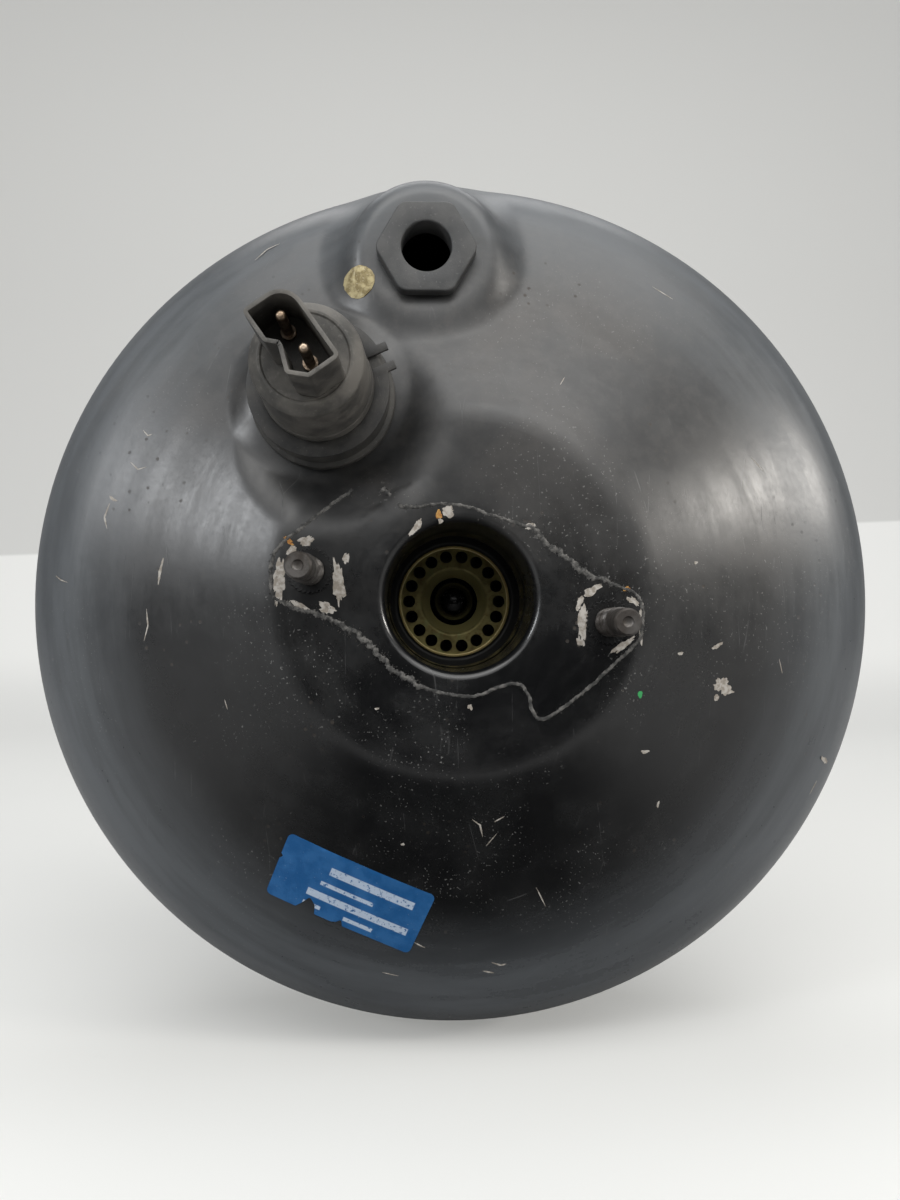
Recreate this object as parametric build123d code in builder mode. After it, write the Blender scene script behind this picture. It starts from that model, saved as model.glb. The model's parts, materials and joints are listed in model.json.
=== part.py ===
from build123d import *

import os
from math import cos, radians, tan

os.makedirs("parts", exist_ok=True)

# Vacuum brake booster, single diaphragm. The booster's axis is Y: the firewall face is at y = 0,
# the master-cylinder face looks towards -Y and the pedal rod points towards +Y. +Z is up.

# Housing
shell_wall = 2.0
face_depth = 122.0         # firewall face to master-cylinder face
joint_depth = 50.0         # firewall face to the crimped joint
shell_radius = 134.5
face_radius = 52.0
dome_slope = 20.0
face_bend = 14.0
shoulder_bend = 24.0
pilot_radius = 21.0        # opening for the master cylinder's spigot
pilot_depth = 42.0
pilot_bend = 4.0
crimp_width = 6.5
crimp_tab_count = 8
crimp_tab_angle = 16.0
crimp_bend = 1.5

# Rear half of the housing
rear_skirt_depth = 30.0
rear_face_radius = 70.0
rear_shoulder_bend = 14.0
rear_face_bend = 12.0
neck_length = 22.0
neck_bend = 3.0

# Boss for the vacuum fitting and seat for the travel sensor, pressed into the front dome
boss_x = -9.4
boss_edge = 33.7            # drum's side to the fitting's centre
boss_depth = 10.5
boss_radius = 22.5
boss_length = 40.0
seat_x, seat_z = -38.7, 56.8
seat_depth = 8.0
seat_radius = 23.0
seat_length = 23.0
press_draft = 14.0

# Vacuum fitting
fitting_flats = 26.0
fitting_corner_round = 3.5
fitting_height = 5.0
fitting_bore = 7.25
fitting_spigot_radius = 9.0
fitting_spigot_length = 4.0

# Studs
stud_radius = 4.0
stud_shank_radius = 5.3    # knurled part, pressed through plate and shell
stud_shank_recess = 0.3
front_stud_reach = 24.0
front_stud_dog_radius = 3.6
front_stud_dog_length = 9.5
front_stud_x, front_stud_z = 41.6, -7.1
rear_stud_reach = 24.0
rear_stud_spacing = 80.0
stud_head_radius = 7.0
stud_head_height = 3.0
stud_chamfer = 0.7
plate_thickness = 3.0
front_plate_radius = 49.0
rear_plate_radius = 66.0

# Guide plate in the opening
guide_wall = 1.2
guide_flange_radius = 33.5
guide_rim_radius = 18.3
guide_rim_depth = 50.0
guide_floor_depth = 53.0
guide_hole_count = 18
guide_hole_radius = 2.05
guide_hole_circle = 15.1
guide_step_radius = 11.0
guide_bore_radius = 8.0
guide_funnel_depth = 3.0
guide_clearance = 1.0        # between the collar and the cup's sleeve
guide_bends = [2.0, 0.8, 1.5, 0.6, 1.5]

# Power piston: control housing, diaphragm plate and diaphragm
stroke = 38.0
hub_radius = 38.0
hub_thickness = 5.5
plate_gap = 12.5           # firewall face to the diaphragm plate's front side
nose_radius = 19.0
nose_length = 8.0
rib_count = 6
rib_thickness = 3.0
rib_reach = 26.0
rib_seat = 1.0             # rib sunk into the hub and the nose
tube_radius = 21.0
tube_reach = 74.0
chamber_radius = 15.0
chamber_start = 8.0
diaphragm_plate_wall = 1.5
diaphragm_plate_flat = 78.0
diaphragm_plate_clearance = 13.9    # drum's inside to the plate's lip
diaphragm_plate_slope = 26.0
diaphragm_plate_lip = 16.0
plate_flat_bend = 8.0
plate_lip_bend = 5.0
diaphragm_wall = 1.8
diaphragm_roll_depth = 60.0
diaphragm_roll_width = 6.4
diaphragm_roll_flat = 0.2
groove_depth = 0.8
bead_length = 3.8

# Reaction disc, plunger and rods
reaction_radius = 14.5
reaction_depth = 15.0
reaction_thickness = 5.5
plunger_stop = 3.5         # reaction disc to the plunger bore's end
output_head_thickness = 3.5
output_rod_radius = 6.0
output_tip_radius = 6.8
output_tip_depth = 72.0
plunger_radius = 8.95
plunger_nose_radius = 5.9
plunger_neck_radius = 6.5
plunger_travel = 1.8
plunger_end = 8.0
key_thickness = 2.0
key_depth = 5.6
key_width = 20.0
key_length = 46.0
key_corner = 3.0
key_play = 0.3
ball_radius = 5.5
ball_y = 3.0
rod_neck_radius = 3.8
rod_neck_length = 9.0
socket_mouth = 4.7
rod_radius = 4.75
rod_end = 116.0

# Valve inside the control housing
poppet_bore = 6.6
poppet_length = 15.0
poppet_wall = 2.0
poppet_lip_radius = 13.5
retainer_bore = 9.0
retainer_length = 8.0
washer_radius = 12.5
washer_y = 40.0
washer_thickness = 1.5
filter_bore = 7.9
filter_length = 13.0
filter_cap_thickness = 3.5
filter_cap_bore = 8.8
cap_rim = 1.6
cap_slot_count = 8
cap_slot_radius = 1.6

# Springs: mean radius, wire radius and turns
return_spring = (29.0, 2.0, 5.0)
poppet_spring = (10.4, 0.5, 5.0)
input_spring = (11.0, 0.8, 4.0)

# Clevis at the pedal end
clevis_width = 18.5
clevis_slot = 10.5
clevis_height = 20.0
clevis_start = 102.0
clevis_pin_radius = 5.0
clevis_pin_y = 130.0
nut_flats = 17.0
nut_height = 6.0

# Travel sensor
sensor_foot_radius = 15.0
sensor_base_radius = 15.2
sensor_cap_radius = 14.2
sensor_cap_height = 39.0
sensor_face_height = 41.5
sensor_face_radius = 11.6
sensor_tube_radius = 8.0
sensor_tube_length = 30.0
sensor_foot_length = 6.0
sensor_chamber_height = 32.0
feeler_radius = 4.0
feeler_depth = 10.0        # seat to the feeler's front end
feeler_bore = 2.8
feeler_bore_length = 50.0
grommet_flange_radius = 20.5
grommet_radius = 19.0
grommet_height = 13.8
grommet_neck_radius = 16.4
grommet_flange = 4.0
grommet_lip = 2.5
grommet_chamfer = 1.0
clip_thickness = 1.2
clip_radius = 19.4
clip_inner_radius = 14.9
clip_gap_angle = 27.0
clip_gap_width = 5.0
clip_lug_reach = 21.6
clip_lug_width = 3.2
socket_height = 59.0
socket_floor_height = 43.5
socket_wall = 0.9
socket_left, socket_right = -10.0, 8.9
socket_low, socket_high = -5.7, 4.6
socket_notch_start, socket_notch_end = -2.8, 5.9
socket_notch_flat_end = 0.35
socket_notch_depth = 2.1
socket_chamfer = 3.1
socket_round = 4.7
socket_turn = -54.6        # the socket's long side, from the horizontal
pin_radius = 1.25
pin_height = 57.0
pin_base_radius = 1.85
pin_base_height = 1.5
pin_places = (-6.0, 3.0)
pin_tip_round = 0.9

# Dust boot
boot_wall = 1.4
boot_folds = 6
boot_fold_height = 5.4
boot_clearance = 0.6
boot_cuff_start = 9.0
boot_cuff_end = 18.0
boot_end_cuff = 5.0
boot_fold_round = 0.2

# Piston seal in the neck
seal_thickness = 2.0
seal_start = 5.0
seal_end = 14.0
seal_lip = 2.0
seal_relief = 0.8
guide_ring_length = 6.0

# Fits
running_fit = 0.06
press_fit = 0.05
gap = 0.3

front_y = -face_depth
joint_y = -joint_depth
rim_radius = shell_radius + crimp_width
neck_radius = tube_radius + seal_thickness + shell_wall
seat_y = front_y + seat_depth
boss_z = shell_radius - boss_edge
boss_y = front_y + boss_depth
front_inside_y = front_y + shell_wall
piston_front_y = -plate_gap - hub_thickness
nose_y = piston_front_y - nose_length
diaphragm_plate_radius = shell_radius - shell_wall - diaphragm_plate_clearance
plate_slope_width = diaphragm_plate_radius - diaphragm_plate_flat
lip_start_y = -plate_gap - plate_slope_width * tan(radians(diaphragm_plate_slope))
groove_radius = tube_radius - groove_depth
groove_end_y = -plate_gap + diaphragm_plate_wall + bead_length
plunger_stop_y = -reaction_depth + plunger_stop


def facing_front(y):
    """A sketch plane square to the axis, as seen from the front: x to the right, y up."""
    return Plane(origin=(0, y, 0), x_dir=(1, 0, 0), z_dir=(0, -1, 0))


def section_at(x, z):
    """A sketch plane through a line parallel to the booster's axis: x is the radius, y is y."""
    return Plane(origin=(x, 0, z), x_dir=(1, 0, 0), z_dir=(0, 0, 1))


def axis_at(x, z):
    """A line parallel to the booster's axis."""
    return Axis((x, 0, z), (0, 1, 0))


def parallel(corners, bends, distance):
    """Corners and bend radii of the line that runs a distance to the left of another."""
    points = [Vector(*corner) for corner in corners]
    runs = [(end - start).normalized() for start, end in zip(points, points[1:])]
    lefts = [Vector(-run.Y, run.X) for run in runs]
    moved = [points[0] + lefts[0] * distance]
    radii = []
    for index, bend in enumerate(bends):
        before, after = lefts[index], lefts[index + 1]
        moved.append(points[index + 1] + (before + after) * (distance / (1 + before.dot(after))))
        turns_left = before.cross(after).Z > 0
        radii.append(bend - distance if turns_left else bend + distance)
    moved.append(points[-1] + lefts[-1] * distance)
    return [(point.X, point.Y) for point in moved], radii


def sheet(corners, bends, wall):
    """A bent sheet in section, its second side a wall to the left of the corners."""
    far_corners, far_bends = parallel(corners, bends, wall)
    with BuildSketch() as section:
        with BuildLine():
            FilletPolyline(*corners, radius=bends)
            FilletPolyline(*far_corners, radius=far_bends)
            Line(corners[0], far_corners[0])
            Line(corners[-1], far_corners[-1])
        make_face()
    return section.sketch


def outline(*corners):
    """A closed outline with straight sides."""
    with BuildSketch() as section:
        with BuildLine():
            Polyline(*corners, close=True)
        make_face()
    return section.sketch


def ring(inner, outer, start, end):
    """A plain ring in section."""
    return outline((inner, start), (outer, start), (outer, end), (inner, end))


def socket_area():
    """The connector's keyed opening, its long side along x."""
    notch_top = socket_low + socket_notch_depth
    with BuildSketch() as area:
        with BuildLine():
            Polyline(
                (socket_left, socket_high - socket_round),
                (socket_left, socket_low),
                (socket_notch_start, socket_low),
                (socket_notch_start + socket_notch_depth, notch_top),
                (socket_notch_flat_end, notch_top),
                (socket_notch_end, socket_low),
                (socket_right, socket_low + socket_chamfer),
                (socket_right, socket_high),
                (socket_left + socket_round, socket_high),
            )
            RadiusArc(
                (socket_left + socket_round, socket_high),
                (socket_left, socket_high - socket_round),
                -socket_round,
            )
        make_face()
    return area.sketch


def coil(spring, start, end):
    """A compression spring between two seats on the booster's axis."""
    mean_radius, wire_radius, turns = spring
    height = end - start - 2 * wire_radius - gap
    foot = (0, start + wire_radius + gap / 2, 0)
    with BuildPart() as wound:
        with BuildLine() as path:
            Helix(pitch=height / turns, height=height, radius=mean_radius, center=foot, direction=(0, 1, 0))
        with BuildSketch(Plane(origin=path.line @ 0, z_dir=path.line % 0)):
            Circle(wire_radius)
        sweep(path=path.line, is_frenet=True)
    return wound.part


def dome(inset):
    """The front half as a solid form, its surface an inset inside the outer skin."""
    slope = radians(dome_slope)
    crease = inset * (1 / cos(slope) - tan(slope))
    corner_y = front_y + (shell_radius - face_radius) * tan(slope) + crease
    opening = pilot_radius + inset
    throat_y = front_y + pilot_depth
    side = shell_radius - inset
    with BuildPart() as form:
        with BuildSketch(Plane.XY):
            with BuildLine():
                Polyline((opening, throat_y), (0, throat_y), (0, joint_y), (side, joint_y))
                FilletPolyline(
                    (side, joint_y),
                    (side, corner_y),
                    (face_radius - inset * tan(slope / 2), front_y + inset),
                    (opening, front_y + inset),
                    (opening, throat_y),
                    radius=[shoulder_bend - inset, face_bend - inset, pilot_bend + inset],
                )
            make_face()
        revolve(axis=Axis.Y)
        draft = radians(press_draft)
        spread = inset * (1 / cos(draft) - tan(draft))
        with BuildSketch(facing_front(boss_y + inset)):
            with Locations((boss_x, boss_z)):
                Circle(boss_radius - spread)
        extrude(amount=-boss_length, taper=-press_draft)
        with BuildSketch(facing_front(seat_y + inset)):
            with Locations((seat_x, seat_z)):
                Circle(seat_radius + spread)
        extrude(amount=seat_depth + inset, taper=-press_draft, mode=Mode.SUBTRACT)
        with BuildSketch(facing_front(seat_y + inset)):
            with Locations((seat_x, seat_z)):
                Circle(seat_radius - spread)
        extrude(amount=-seat_length, taper=-press_draft)
    return form.part


def finish(part, label):
    """Name a finished piece and write it."""
    part.label = label
    export_step(part, f"parts/{label}.step")


# Front housing: deep-drawn dome with its collar, vacuum boss, sensor seat and crimped rim
front_stud_places = [(front_stud_x, front_stud_z), (-front_stud_x, -front_stud_z)]
lip_inside = rim_radius - shell_wall
lip_end = joint_y + 2 * shell_wall + gap
with BuildPart() as front_shell:
    add(dome(0))
    add(dome(shell_wall), mode=Mode.SUBTRACT)
    with BuildSketch(Plane.XY):
        add(ring(shell_radius - shell_wall, rim_radius, joint_y - shell_wall, joint_y))
        add(ring(lip_inside, rim_radius, joint_y, lip_end))
    revolve(axis=Axis.Y)
    for index in range(crimp_tab_count):
        with BuildSketch(Plane.XY.rotated((0, 360 * index / crimp_tab_count, 0))):
            add(ring(lip_inside - shell_wall, rim_radius, lip_end, lip_end + shell_wall))
        revolve(axis=Axis.Y, revolution_arc=crimp_tab_angle)
    with BuildSketch(facing_front(front_y - gap)):
        with Locations(*front_stud_places):
            Circle(stud_shank_radius + press_fit)
        with Locations((seat_x, seat_z)):
            Circle(grommet_neck_radius + press_fit)
        with Locations((boss_x, boss_z)):
            Circle(fitting_spigot_radius + press_fit)
    extrude(amount=-pilot_depth / 2, mode=Mode.SUBTRACT)
finish(front_shell.part, "front_shell")

# Rear housing: shallow pan with the neck that carries the piston's seal
skirt_radius = shell_radius - shell_wall - press_fit
rear_corners = [
    (lip_inside - press_fit, joint_y + shell_wall),
    (skirt_radius, joint_y + shell_wall),
    (skirt_radius, -rear_skirt_depth),
    (rear_face_radius, 0),
    (neck_radius, 0),
    (neck_radius, neck_length),
]
rear_bends = [crimp_bend, rear_shoulder_bend, rear_face_bend, neck_bend]
with BuildPart() as rear_shell:
    with BuildSketch(Plane.XY):
        add(sheet(rear_corners, rear_bends, shell_wall))
    revolve(axis=Axis.Y)
    with BuildSketch(facing_front(gap)):
        with GridLocations(rear_stud_spacing, rear_stud_spacing, 2, 2):
            Circle(stud_shank_radius + press_fit)
    extrude(amount=shell_wall + 2 * gap, mode=Mode.SUBTRACT)
finish(rear_shell.part, "rear_shell")

# Plates that stiffen both faces and carry the studs
neck_inside = neck_radius - shell_wall
with BuildPart() as front_plate:
    with BuildSketch(facing_front(front_inside_y + plate_thickness)):
        Circle(front_plate_radius)
        Circle(pilot_radius + 2 * shell_wall + pilot_bend + press_fit, mode=Mode.SUBTRACT)
        with Locations(*front_stud_places):
            Circle(stud_shank_radius + press_fit, mode=Mode.SUBTRACT)
        with Locations((seat_x, seat_z)):
            Circle(seat_radius + 2 * shell_wall, mode=Mode.SUBTRACT)
    extrude(amount=plate_thickness)
finish(front_plate.part, "front_reinforcement_plate")

with BuildPart() as rear_plate:
    with BuildSketch(facing_front(-shell_wall)):
        Circle(rear_plate_radius)
        Circle(neck_inside + neck_bend + shell_wall + press_fit, mode=Mode.SUBTRACT)
        with GridLocations(rear_stud_spacing, rear_stud_spacing, 2, 2):
            Circle(stud_shank_radius + press_fit, mode=Mode.SUBTRACT)
    extrude(amount=plate_thickness)
finish(rear_plate.part, "rear_reinforcement_plate")

# Master-cylinder studs: head inside, knurled shank through the wall and plain dog outside
front_head_y = front_inside_y + plate_thickness
front_tip_y = front_y - front_stud_reach
front_thread_y = front_tip_y + front_stud_dog_length
with BuildPart() as front_studs:
    for x, z in front_stud_places:
        with BuildSketch(section_at(x, z)):
            add(
                outline(
                    (0, front_head_y + stud_head_height),
                    (stud_head_radius, front_head_y + stud_head_height),
                    (stud_head_radius, front_head_y),
                    (stud_shank_radius, front_head_y),
                    (stud_shank_radius, front_y + stud_shank_recess),
                    (stud_radius, front_y + stud_shank_recess),
                    (stud_radius, front_thread_y),
                    (front_stud_dog_radius, front_thread_y - stud_chamfer),
                    (front_stud_dog_radius, front_tip_y + stud_chamfer),
                    (front_stud_dog_radius - stud_chamfer, front_tip_y),
                    (0, front_tip_y),
                )
            )
        revolve(axis=axis_at(x, z))
finish(front_studs.part, "master_cylinder_studs")

# Firewall studs: head inside, chamfered end outside
rear_head_y = -shell_wall - plate_thickness
with BuildPart() as rear_studs:
    for place in GridLocations(rear_stud_spacing, rear_stud_spacing, 2, 2):
        x, z = place.position.X, place.position.Y
        with BuildSketch(section_at(x, z)):
            add(
                outline(
                    (0, rear_head_y - stud_head_height),
                    (stud_head_radius, rear_head_y - stud_head_height),
                    (stud_head_radius, rear_head_y),
                    (stud_shank_radius, rear_head_y),
                    (stud_shank_radius, -stud_shank_recess),
                    (stud_radius, -stud_shank_recess),
                    (stud_radius, rear_stud_reach - stud_chamfer),
                    (stud_radius - stud_chamfer, rear_stud_reach),
                    (0, rear_stud_reach),
                )
            )
        revolve(axis=axis_at(x, z))
finish(rear_studs.part, "firewall_studs")

# Vacuum fitting: hexagon with rounded corners, a spigot through the boss and a plain bore
with BuildPart() as vacuum_fitting:
    with BuildSketch(facing_front(boss_y)):
        with Locations((boss_x, boss_z)):
            RegularPolygon(fitting_flats / 2, 6, major_radius=False)
    extrude(amount=fitting_height)
    fillet(vacuum_fitting.edges().filter_by(Axis.Y), fitting_corner_round)
    with BuildSketch(facing_front(boss_y)):
        with Locations((boss_x, boss_z)):
            Circle(fitting_spigot_radius)
    extrude(amount=-fitting_spigot_length)
    with BuildSketch(facing_front(boss_y - fitting_height)):
        with Locations((boss_x, boss_z)):
            Circle(fitting_bore)
    extrude(amount=-fitting_height - fitting_spigot_length, mode=Mode.SUBTRACT)
finish(vacuum_fitting.part, "vacuum_fitting")

# Guide plate: a drawn cup round the collar, its floor pierced by a ring of holes and a funnel
guide_y = front_inside_y + plate_thickness
guide_sleeve = pilot_radius + shell_wall + guide_clearance
rim_y = front_y + guide_rim_depth
floor_y = front_y + guide_floor_depth
guide_corners = [
    (guide_flange_radius, guide_y),
    (guide_sleeve, guide_y),
    (guide_sleeve, rim_y),
    (guide_rim_radius, rim_y),
    (guide_rim_radius, floor_y),
    (guide_step_radius, floor_y),
    (guide_bore_radius, floor_y + guide_funnel_depth),
]
with BuildPart() as guide_plate:
    with BuildSketch(Plane.XY):
        add(sheet(guide_corners, guide_bends, -guide_wall))
    revolve(axis=Axis.Y)
    with BuildSketch(facing_front(floor_y - gap)):
        with PolarLocations(guide_hole_circle, guide_hole_count):
            Circle(guide_hole_radius)
    extrude(amount=-guide_wall - 2 * gap, mode=Mode.SUBTRACT)
finish(guide_plate.part, "guide_plate")

# Control housing of the power piston: hub with ribs, reaction recess, plunger bore and chamber
recess_y = -reaction_depth
with BuildPart() as valve_body:
    with BuildSketch(Plane.XY):
        add(
            outline(
                (plunger_nose_radius + running_fit, nose_y),
                (nose_radius, nose_y),
                (nose_radius, piston_front_y),
                (hub_radius, piston_front_y),
                (hub_radius, -plate_gap),
                (tube_radius, -plate_gap),
                (tube_radius, -plate_gap + diaphragm_plate_wall),
                (groove_radius, -plate_gap + diaphragm_plate_wall),
                (groove_radius, groove_end_y),
                (tube_radius, groove_end_y),
                (tube_radius, tube_reach),
                (chamber_radius, tube_reach),
                (chamber_radius, chamber_start),
                (plunger_radius + running_fit, chamber_start),
                (plunger_radius + running_fit, plunger_stop_y),
                (plunger_nose_radius + running_fit, plunger_stop_y),
            )
        )
    revolve(axis=Axis.Y)
    for index in range(rib_count):
        with BuildSketch(Plane.XY.rotated((0, 360 * index / rib_count, 0))):
            add(
                outline(
                    (nose_radius - rib_seat, nose_y + rib_seat),
                    (rib_reach, piston_front_y - rib_seat),
                    (rib_reach, piston_front_y + rib_seat),
                    (nose_radius - rib_seat, piston_front_y + rib_seat),
                )
            )
        extrude(amount=rib_thickness / 2, both=True)
    with BuildSketch(facing_front(nose_y)):
        Circle(reaction_radius)
    extrude(amount=-(recess_y - nose_y), mode=Mode.SUBTRACT)
    with BuildSketch(facing_front(-key_depth - key_play)):
        Rectangle(2 * hub_radius, key_width + 2 * key_play)
    extrude(amount=-key_thickness - 2 * key_play, mode=Mode.SUBTRACT)
finish(valve_body.part, "valve_body")

# Diaphragm plate: dished disc with a lip that the diaphragm rolls round
plate_corners = [
    (tube_radius + press_fit, -plate_gap),
    (diaphragm_plate_flat, -plate_gap),
    (diaphragm_plate_radius, lip_start_y),
    (diaphragm_plate_radius, lip_start_y - diaphragm_plate_lip),
]
plate_bends = [plate_flat_bend, plate_lip_bend]
with BuildPart() as diaphragm_plate:
    with BuildSketch(Plane.XY):
        add(sheet(plate_corners, plate_bends, diaphragm_plate_wall))
    revolve(axis=Axis.Y)
finish(diaphragm_plate.part, "diaphragm_plate")

# Diaphragm: lies on the plate, rolls round its lip and ends in the bead at the crimped joint
back_corners, back_bends = parallel(plate_corners, plate_bends, diaphragm_plate_wall)
roll_radius = back_corners[2][0] + diaphragm_roll_width
roll_bend = (diaphragm_roll_width - diaphragm_roll_flat) / 2
bead_outer = shell_radius - shell_wall - gap
with BuildPart() as diaphragm:
    with BuildSketch(Plane.XY):
        add(
            sheet(
                [
                    (groove_radius + press_fit, back_corners[0][1]),
                    back_corners[1],
                    back_corners[2],
                    (back_corners[2][0], -diaphragm_roll_depth),
                    (roll_radius, -diaphragm_roll_depth),
                    (roll_radius, joint_y - gap),
                ],
                back_bends + [roll_bend, roll_bend],
                diaphragm_wall,
            )
        )
        add(ring(groove_radius + press_fit, groove_radius + bead_length, back_corners[0][1], groove_end_y))
        add(ring(roll_radius - diaphragm_wall, bead_outer, joint_y - bead_length - gap, joint_y - gap))
    revolve(axis=Axis.Y)
finish(diaphragm.part, "diaphragm")

# Reaction disc, output rod with its cupped head and domed tip, and the main return spring
disc_front_y = recess_y - reaction_thickness
head_front_y = disc_front_y - output_head_thickness
with BuildPart() as reaction_disc:
    with BuildSketch(facing_front(recess_y)):
        Circle(reaction_radius - press_fit)
    extrude(amount=reaction_thickness)
finish(reaction_disc.part, "reaction_disc")

tip_y = -output_tip_depth
with BuildPart() as output_rod:
    with BuildSketch(Plane.XY):
        with BuildLine():
            Polyline(
                (0, disc_front_y),
                (reaction_radius - press_fit, disc_front_y),
                (reaction_radius - press_fit, head_front_y),
                (output_rod_radius, head_front_y),
                (output_rod_radius, tip_y + 2 * output_tip_radius),
                (output_tip_radius, tip_y + 2 * output_tip_radius),
                (output_tip_radius, tip_y + output_tip_radius),
            )
            RadiusArc((output_tip_radius, tip_y + output_tip_radius), (0, tip_y), output_tip_radius)
            Line((0, tip_y), (0, disc_front_y))
        make_face()
    revolve(axis=Axis.Y)
finish(output_rod.part, "output_push_rod")

finish(coil(return_spring, guide_y + guide_wall, piston_front_y), "return_spring")

# Stop key: a forked plate through the control housing, astride the plunger's neck
with BuildPart() as stop_key:
    with BuildSketch(facing_front(-key_depth + key_thickness)):
        RectangleRounded(key_length, key_width, key_corner)
        with Locations((key_length / 4, 0)):
            Rectangle(key_length / 2, 2 * plunger_neck_radius + 2 * gap, mode=Mode.SUBTRACT)
        Circle(plunger_neck_radius + gap, mode=Mode.SUBTRACT)
    extrude(amount=key_thickness)
finish(stop_key.part, "stop_key")

# Valve plunger: nose, waisted neck for the key, and the socket for the rod's ball
nose_end_y = recess_y + plunger_travel + gap / 2
shoulder_y = plunger_stop_y + plunger_travel + gap / 2
neck_start_y = -key_depth - gap
neck_end_y = -key_depth + key_thickness + plunger_travel + gap
with BuildPart() as valve_plunger:
    with BuildSketch(Plane.XY):
        add(
            outline(
                (0, nose_end_y),
                (plunger_nose_radius, nose_end_y),
                (plunger_nose_radius, shoulder_y),
                (plunger_radius, shoulder_y),
                (plunger_radius, neck_start_y),
                (plunger_neck_radius, neck_start_y),
                (plunger_neck_radius, neck_end_y),
                (plunger_radius, neck_end_y),
                (plunger_radius, plunger_end),
                (0, plunger_end),
            )
        )
    revolve(axis=Axis.Y)
    with Locations((0, ball_y, 0)):
        Sphere(ball_radius + running_fit, mode=Mode.SUBTRACT)
    with BuildSketch(facing_front(plunger_end)):
        Circle(socket_mouth)
    extrude(amount=plunger_end - ball_y, mode=Mode.SUBTRACT)
finish(valve_plunger.part, "valve_plunger")

# Input push rod: ball, neck, shank and the collar that the valve springs push on
with BuildPart() as input_rod:
    with Locations((0, ball_y, 0)):
        Sphere(ball_radius)
    with BuildSketch(Plane.XY):
        add(ring(0, rod_neck_radius, ball_y, ball_y + rod_neck_length))
        add(ring(0, rod_radius, ball_y + rod_neck_length, rod_end))
    revolve(axis=Axis.Y)
finish(input_rod.part, "input_push_rod")

with BuildPart() as spring_washer:
    with BuildSketch(Plane.XY):
        add(ring(rod_radius + press_fit, washer_radius, washer_y, washer_y + washer_thickness))
    revolve(axis=Axis.Y)
finish(spring_washer.part, "input_spring_washer")

# Poppet valve: lipped disc, flexible sleeve and rear bead, held by a pressed retainer
poppet_start = chamber_start + gap
poppet_end = poppet_start + poppet_length
retainer_end = poppet_end + retainer_length
chamber_fit = chamber_radius - press_fit
with BuildPart() as poppet:
    with BuildSketch(Plane.XY):
        add(
            outline(
                (poppet_bore, poppet_start),
                (poppet_lip_radius, poppet_start),
                (poppet_lip_radius, poppet_start + poppet_wall),
                (poppet_bore + poppet_wall, poppet_start + poppet_wall),
                (poppet_bore + poppet_wall, poppet_end - poppet_wall),
                (chamber_fit, poppet_end - poppet_wall),
                (chamber_fit, poppet_end),
                (poppet_bore, poppet_end),
            )
        )
    revolve(axis=Axis.Y)
finish(poppet.part, "poppet_valve")

with BuildPart() as poppet_retainer:
    with BuildSketch(Plane.XY):
        add(ring(retainer_bore, chamber_fit, poppet_end, poppet_end + poppet_wall))
        add(ring(chamber_fit - poppet_wall, chamber_fit, poppet_end + poppet_wall, retainer_end))
    revolve(axis=Axis.Y)
finish(poppet_retainer.part, "poppet_retainer")

finish(coil(poppet_spring, poppet_start + poppet_wall, poppet_end - poppet_wall), "poppet_spring")
finish(coil(input_spring, poppet_end + poppet_wall, washer_y), "input_return_spring")

# Air filter and the cap that keeps it in the end of the control housing
filter_end = tube_reach - filter_cap_thickness
with BuildPart() as air_filter:
    with BuildSketch(Plane.XY):
        add(ring(filter_bore, chamber_fit, filter_end - filter_length, filter_end))
    revolve(axis=Axis.Y)
finish(air_filter.part, "air_filter")

with BuildPart() as filter_cap:
    with BuildSketch(Plane.XY):
        add(ring(filter_cap_bore, chamber_fit, filter_end, tube_reach))
        add(ring(filter_cap_bore, tube_radius, tube_reach, tube_reach + cap_rim))
    revolve(axis=Axis.Y)
    with BuildSketch(facing_front(filter_end)):
        with PolarLocations((filter_cap_bore + chamber_radius) / 2, cap_slot_count):
            Circle(cap_slot_radius)
    extrude(amount=-filter_cap_thickness - cap_rim, mode=Mode.SUBTRACT)
finish(filter_cap.part, "filter_cap")

# Piston seal, its guide ring and the washer that keeps them in the neck
seal_bore = tube_radius + running_fit
with BuildPart() as rear_seal:
    with BuildSketch(Plane.XY):
        add(
            outline(
                (seal_bore, seal_start),
                (neck_inside - press_fit, seal_start),
                (neck_inside - press_fit, seal_end),
                (seal_bore, seal_end),
                (seal_bore, seal_end - seal_lip),
                (seal_bore + seal_relief, seal_end - seal_lip - seal_relief),
                (seal_bore + seal_relief, seal_start + seal_lip + seal_relief),
                (seal_bore, seal_start + seal_lip),
            )
        )
    revolve(axis=Axis.Y)
finish(rear_seal.part, "piston_seal")

with BuildPart() as guide_ring:
    with BuildSketch(Plane.XY):
        add(ring(seal_bore, neck_inside - press_fit, seal_end, seal_end + guide_ring_length))
    revolve(axis=Axis.Y)
finish(guide_ring.part, "piston_guide_ring")

# Dust boot: cuff on the neck, folds, and a cuff on the end of the control housing
fold_start = boot_cuff_end + boot_wall
fold_pitch = (tube_reach - boot_end_cuff - fold_start) / boot_folds
boot_inner_radius = neck_radius + boot_clearance
boot_outer_radius = boot_inner_radius + boot_fold_height
boot_bends = [boot_wall + boot_fold_round] * (2 * boot_folds + 2)
boot_corners = [(neck_radius + press_fit, boot_cuff_start), (neck_radius + press_fit, boot_cuff_end)]
for fold in range(boot_folds):
    boot_corners.append((boot_outer_radius, fold_start + fold_pitch * (fold + 0.25)))
    boot_corners.append((boot_inner_radius, fold_start + fold_pitch * (fold + 0.75)))
boot_corners.append((tube_radius + press_fit, tube_reach - boot_end_cuff))
boot_corners.append((tube_radius + press_fit, tube_reach))
with BuildPart() as dust_boot:
    with BuildSketch(Plane.XY):
        add(sheet(boot_corners, boot_bends, -boot_wall))
    revolve(axis=Axis.Y)
finish(dust_boot.part, "dust_boot")

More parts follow.
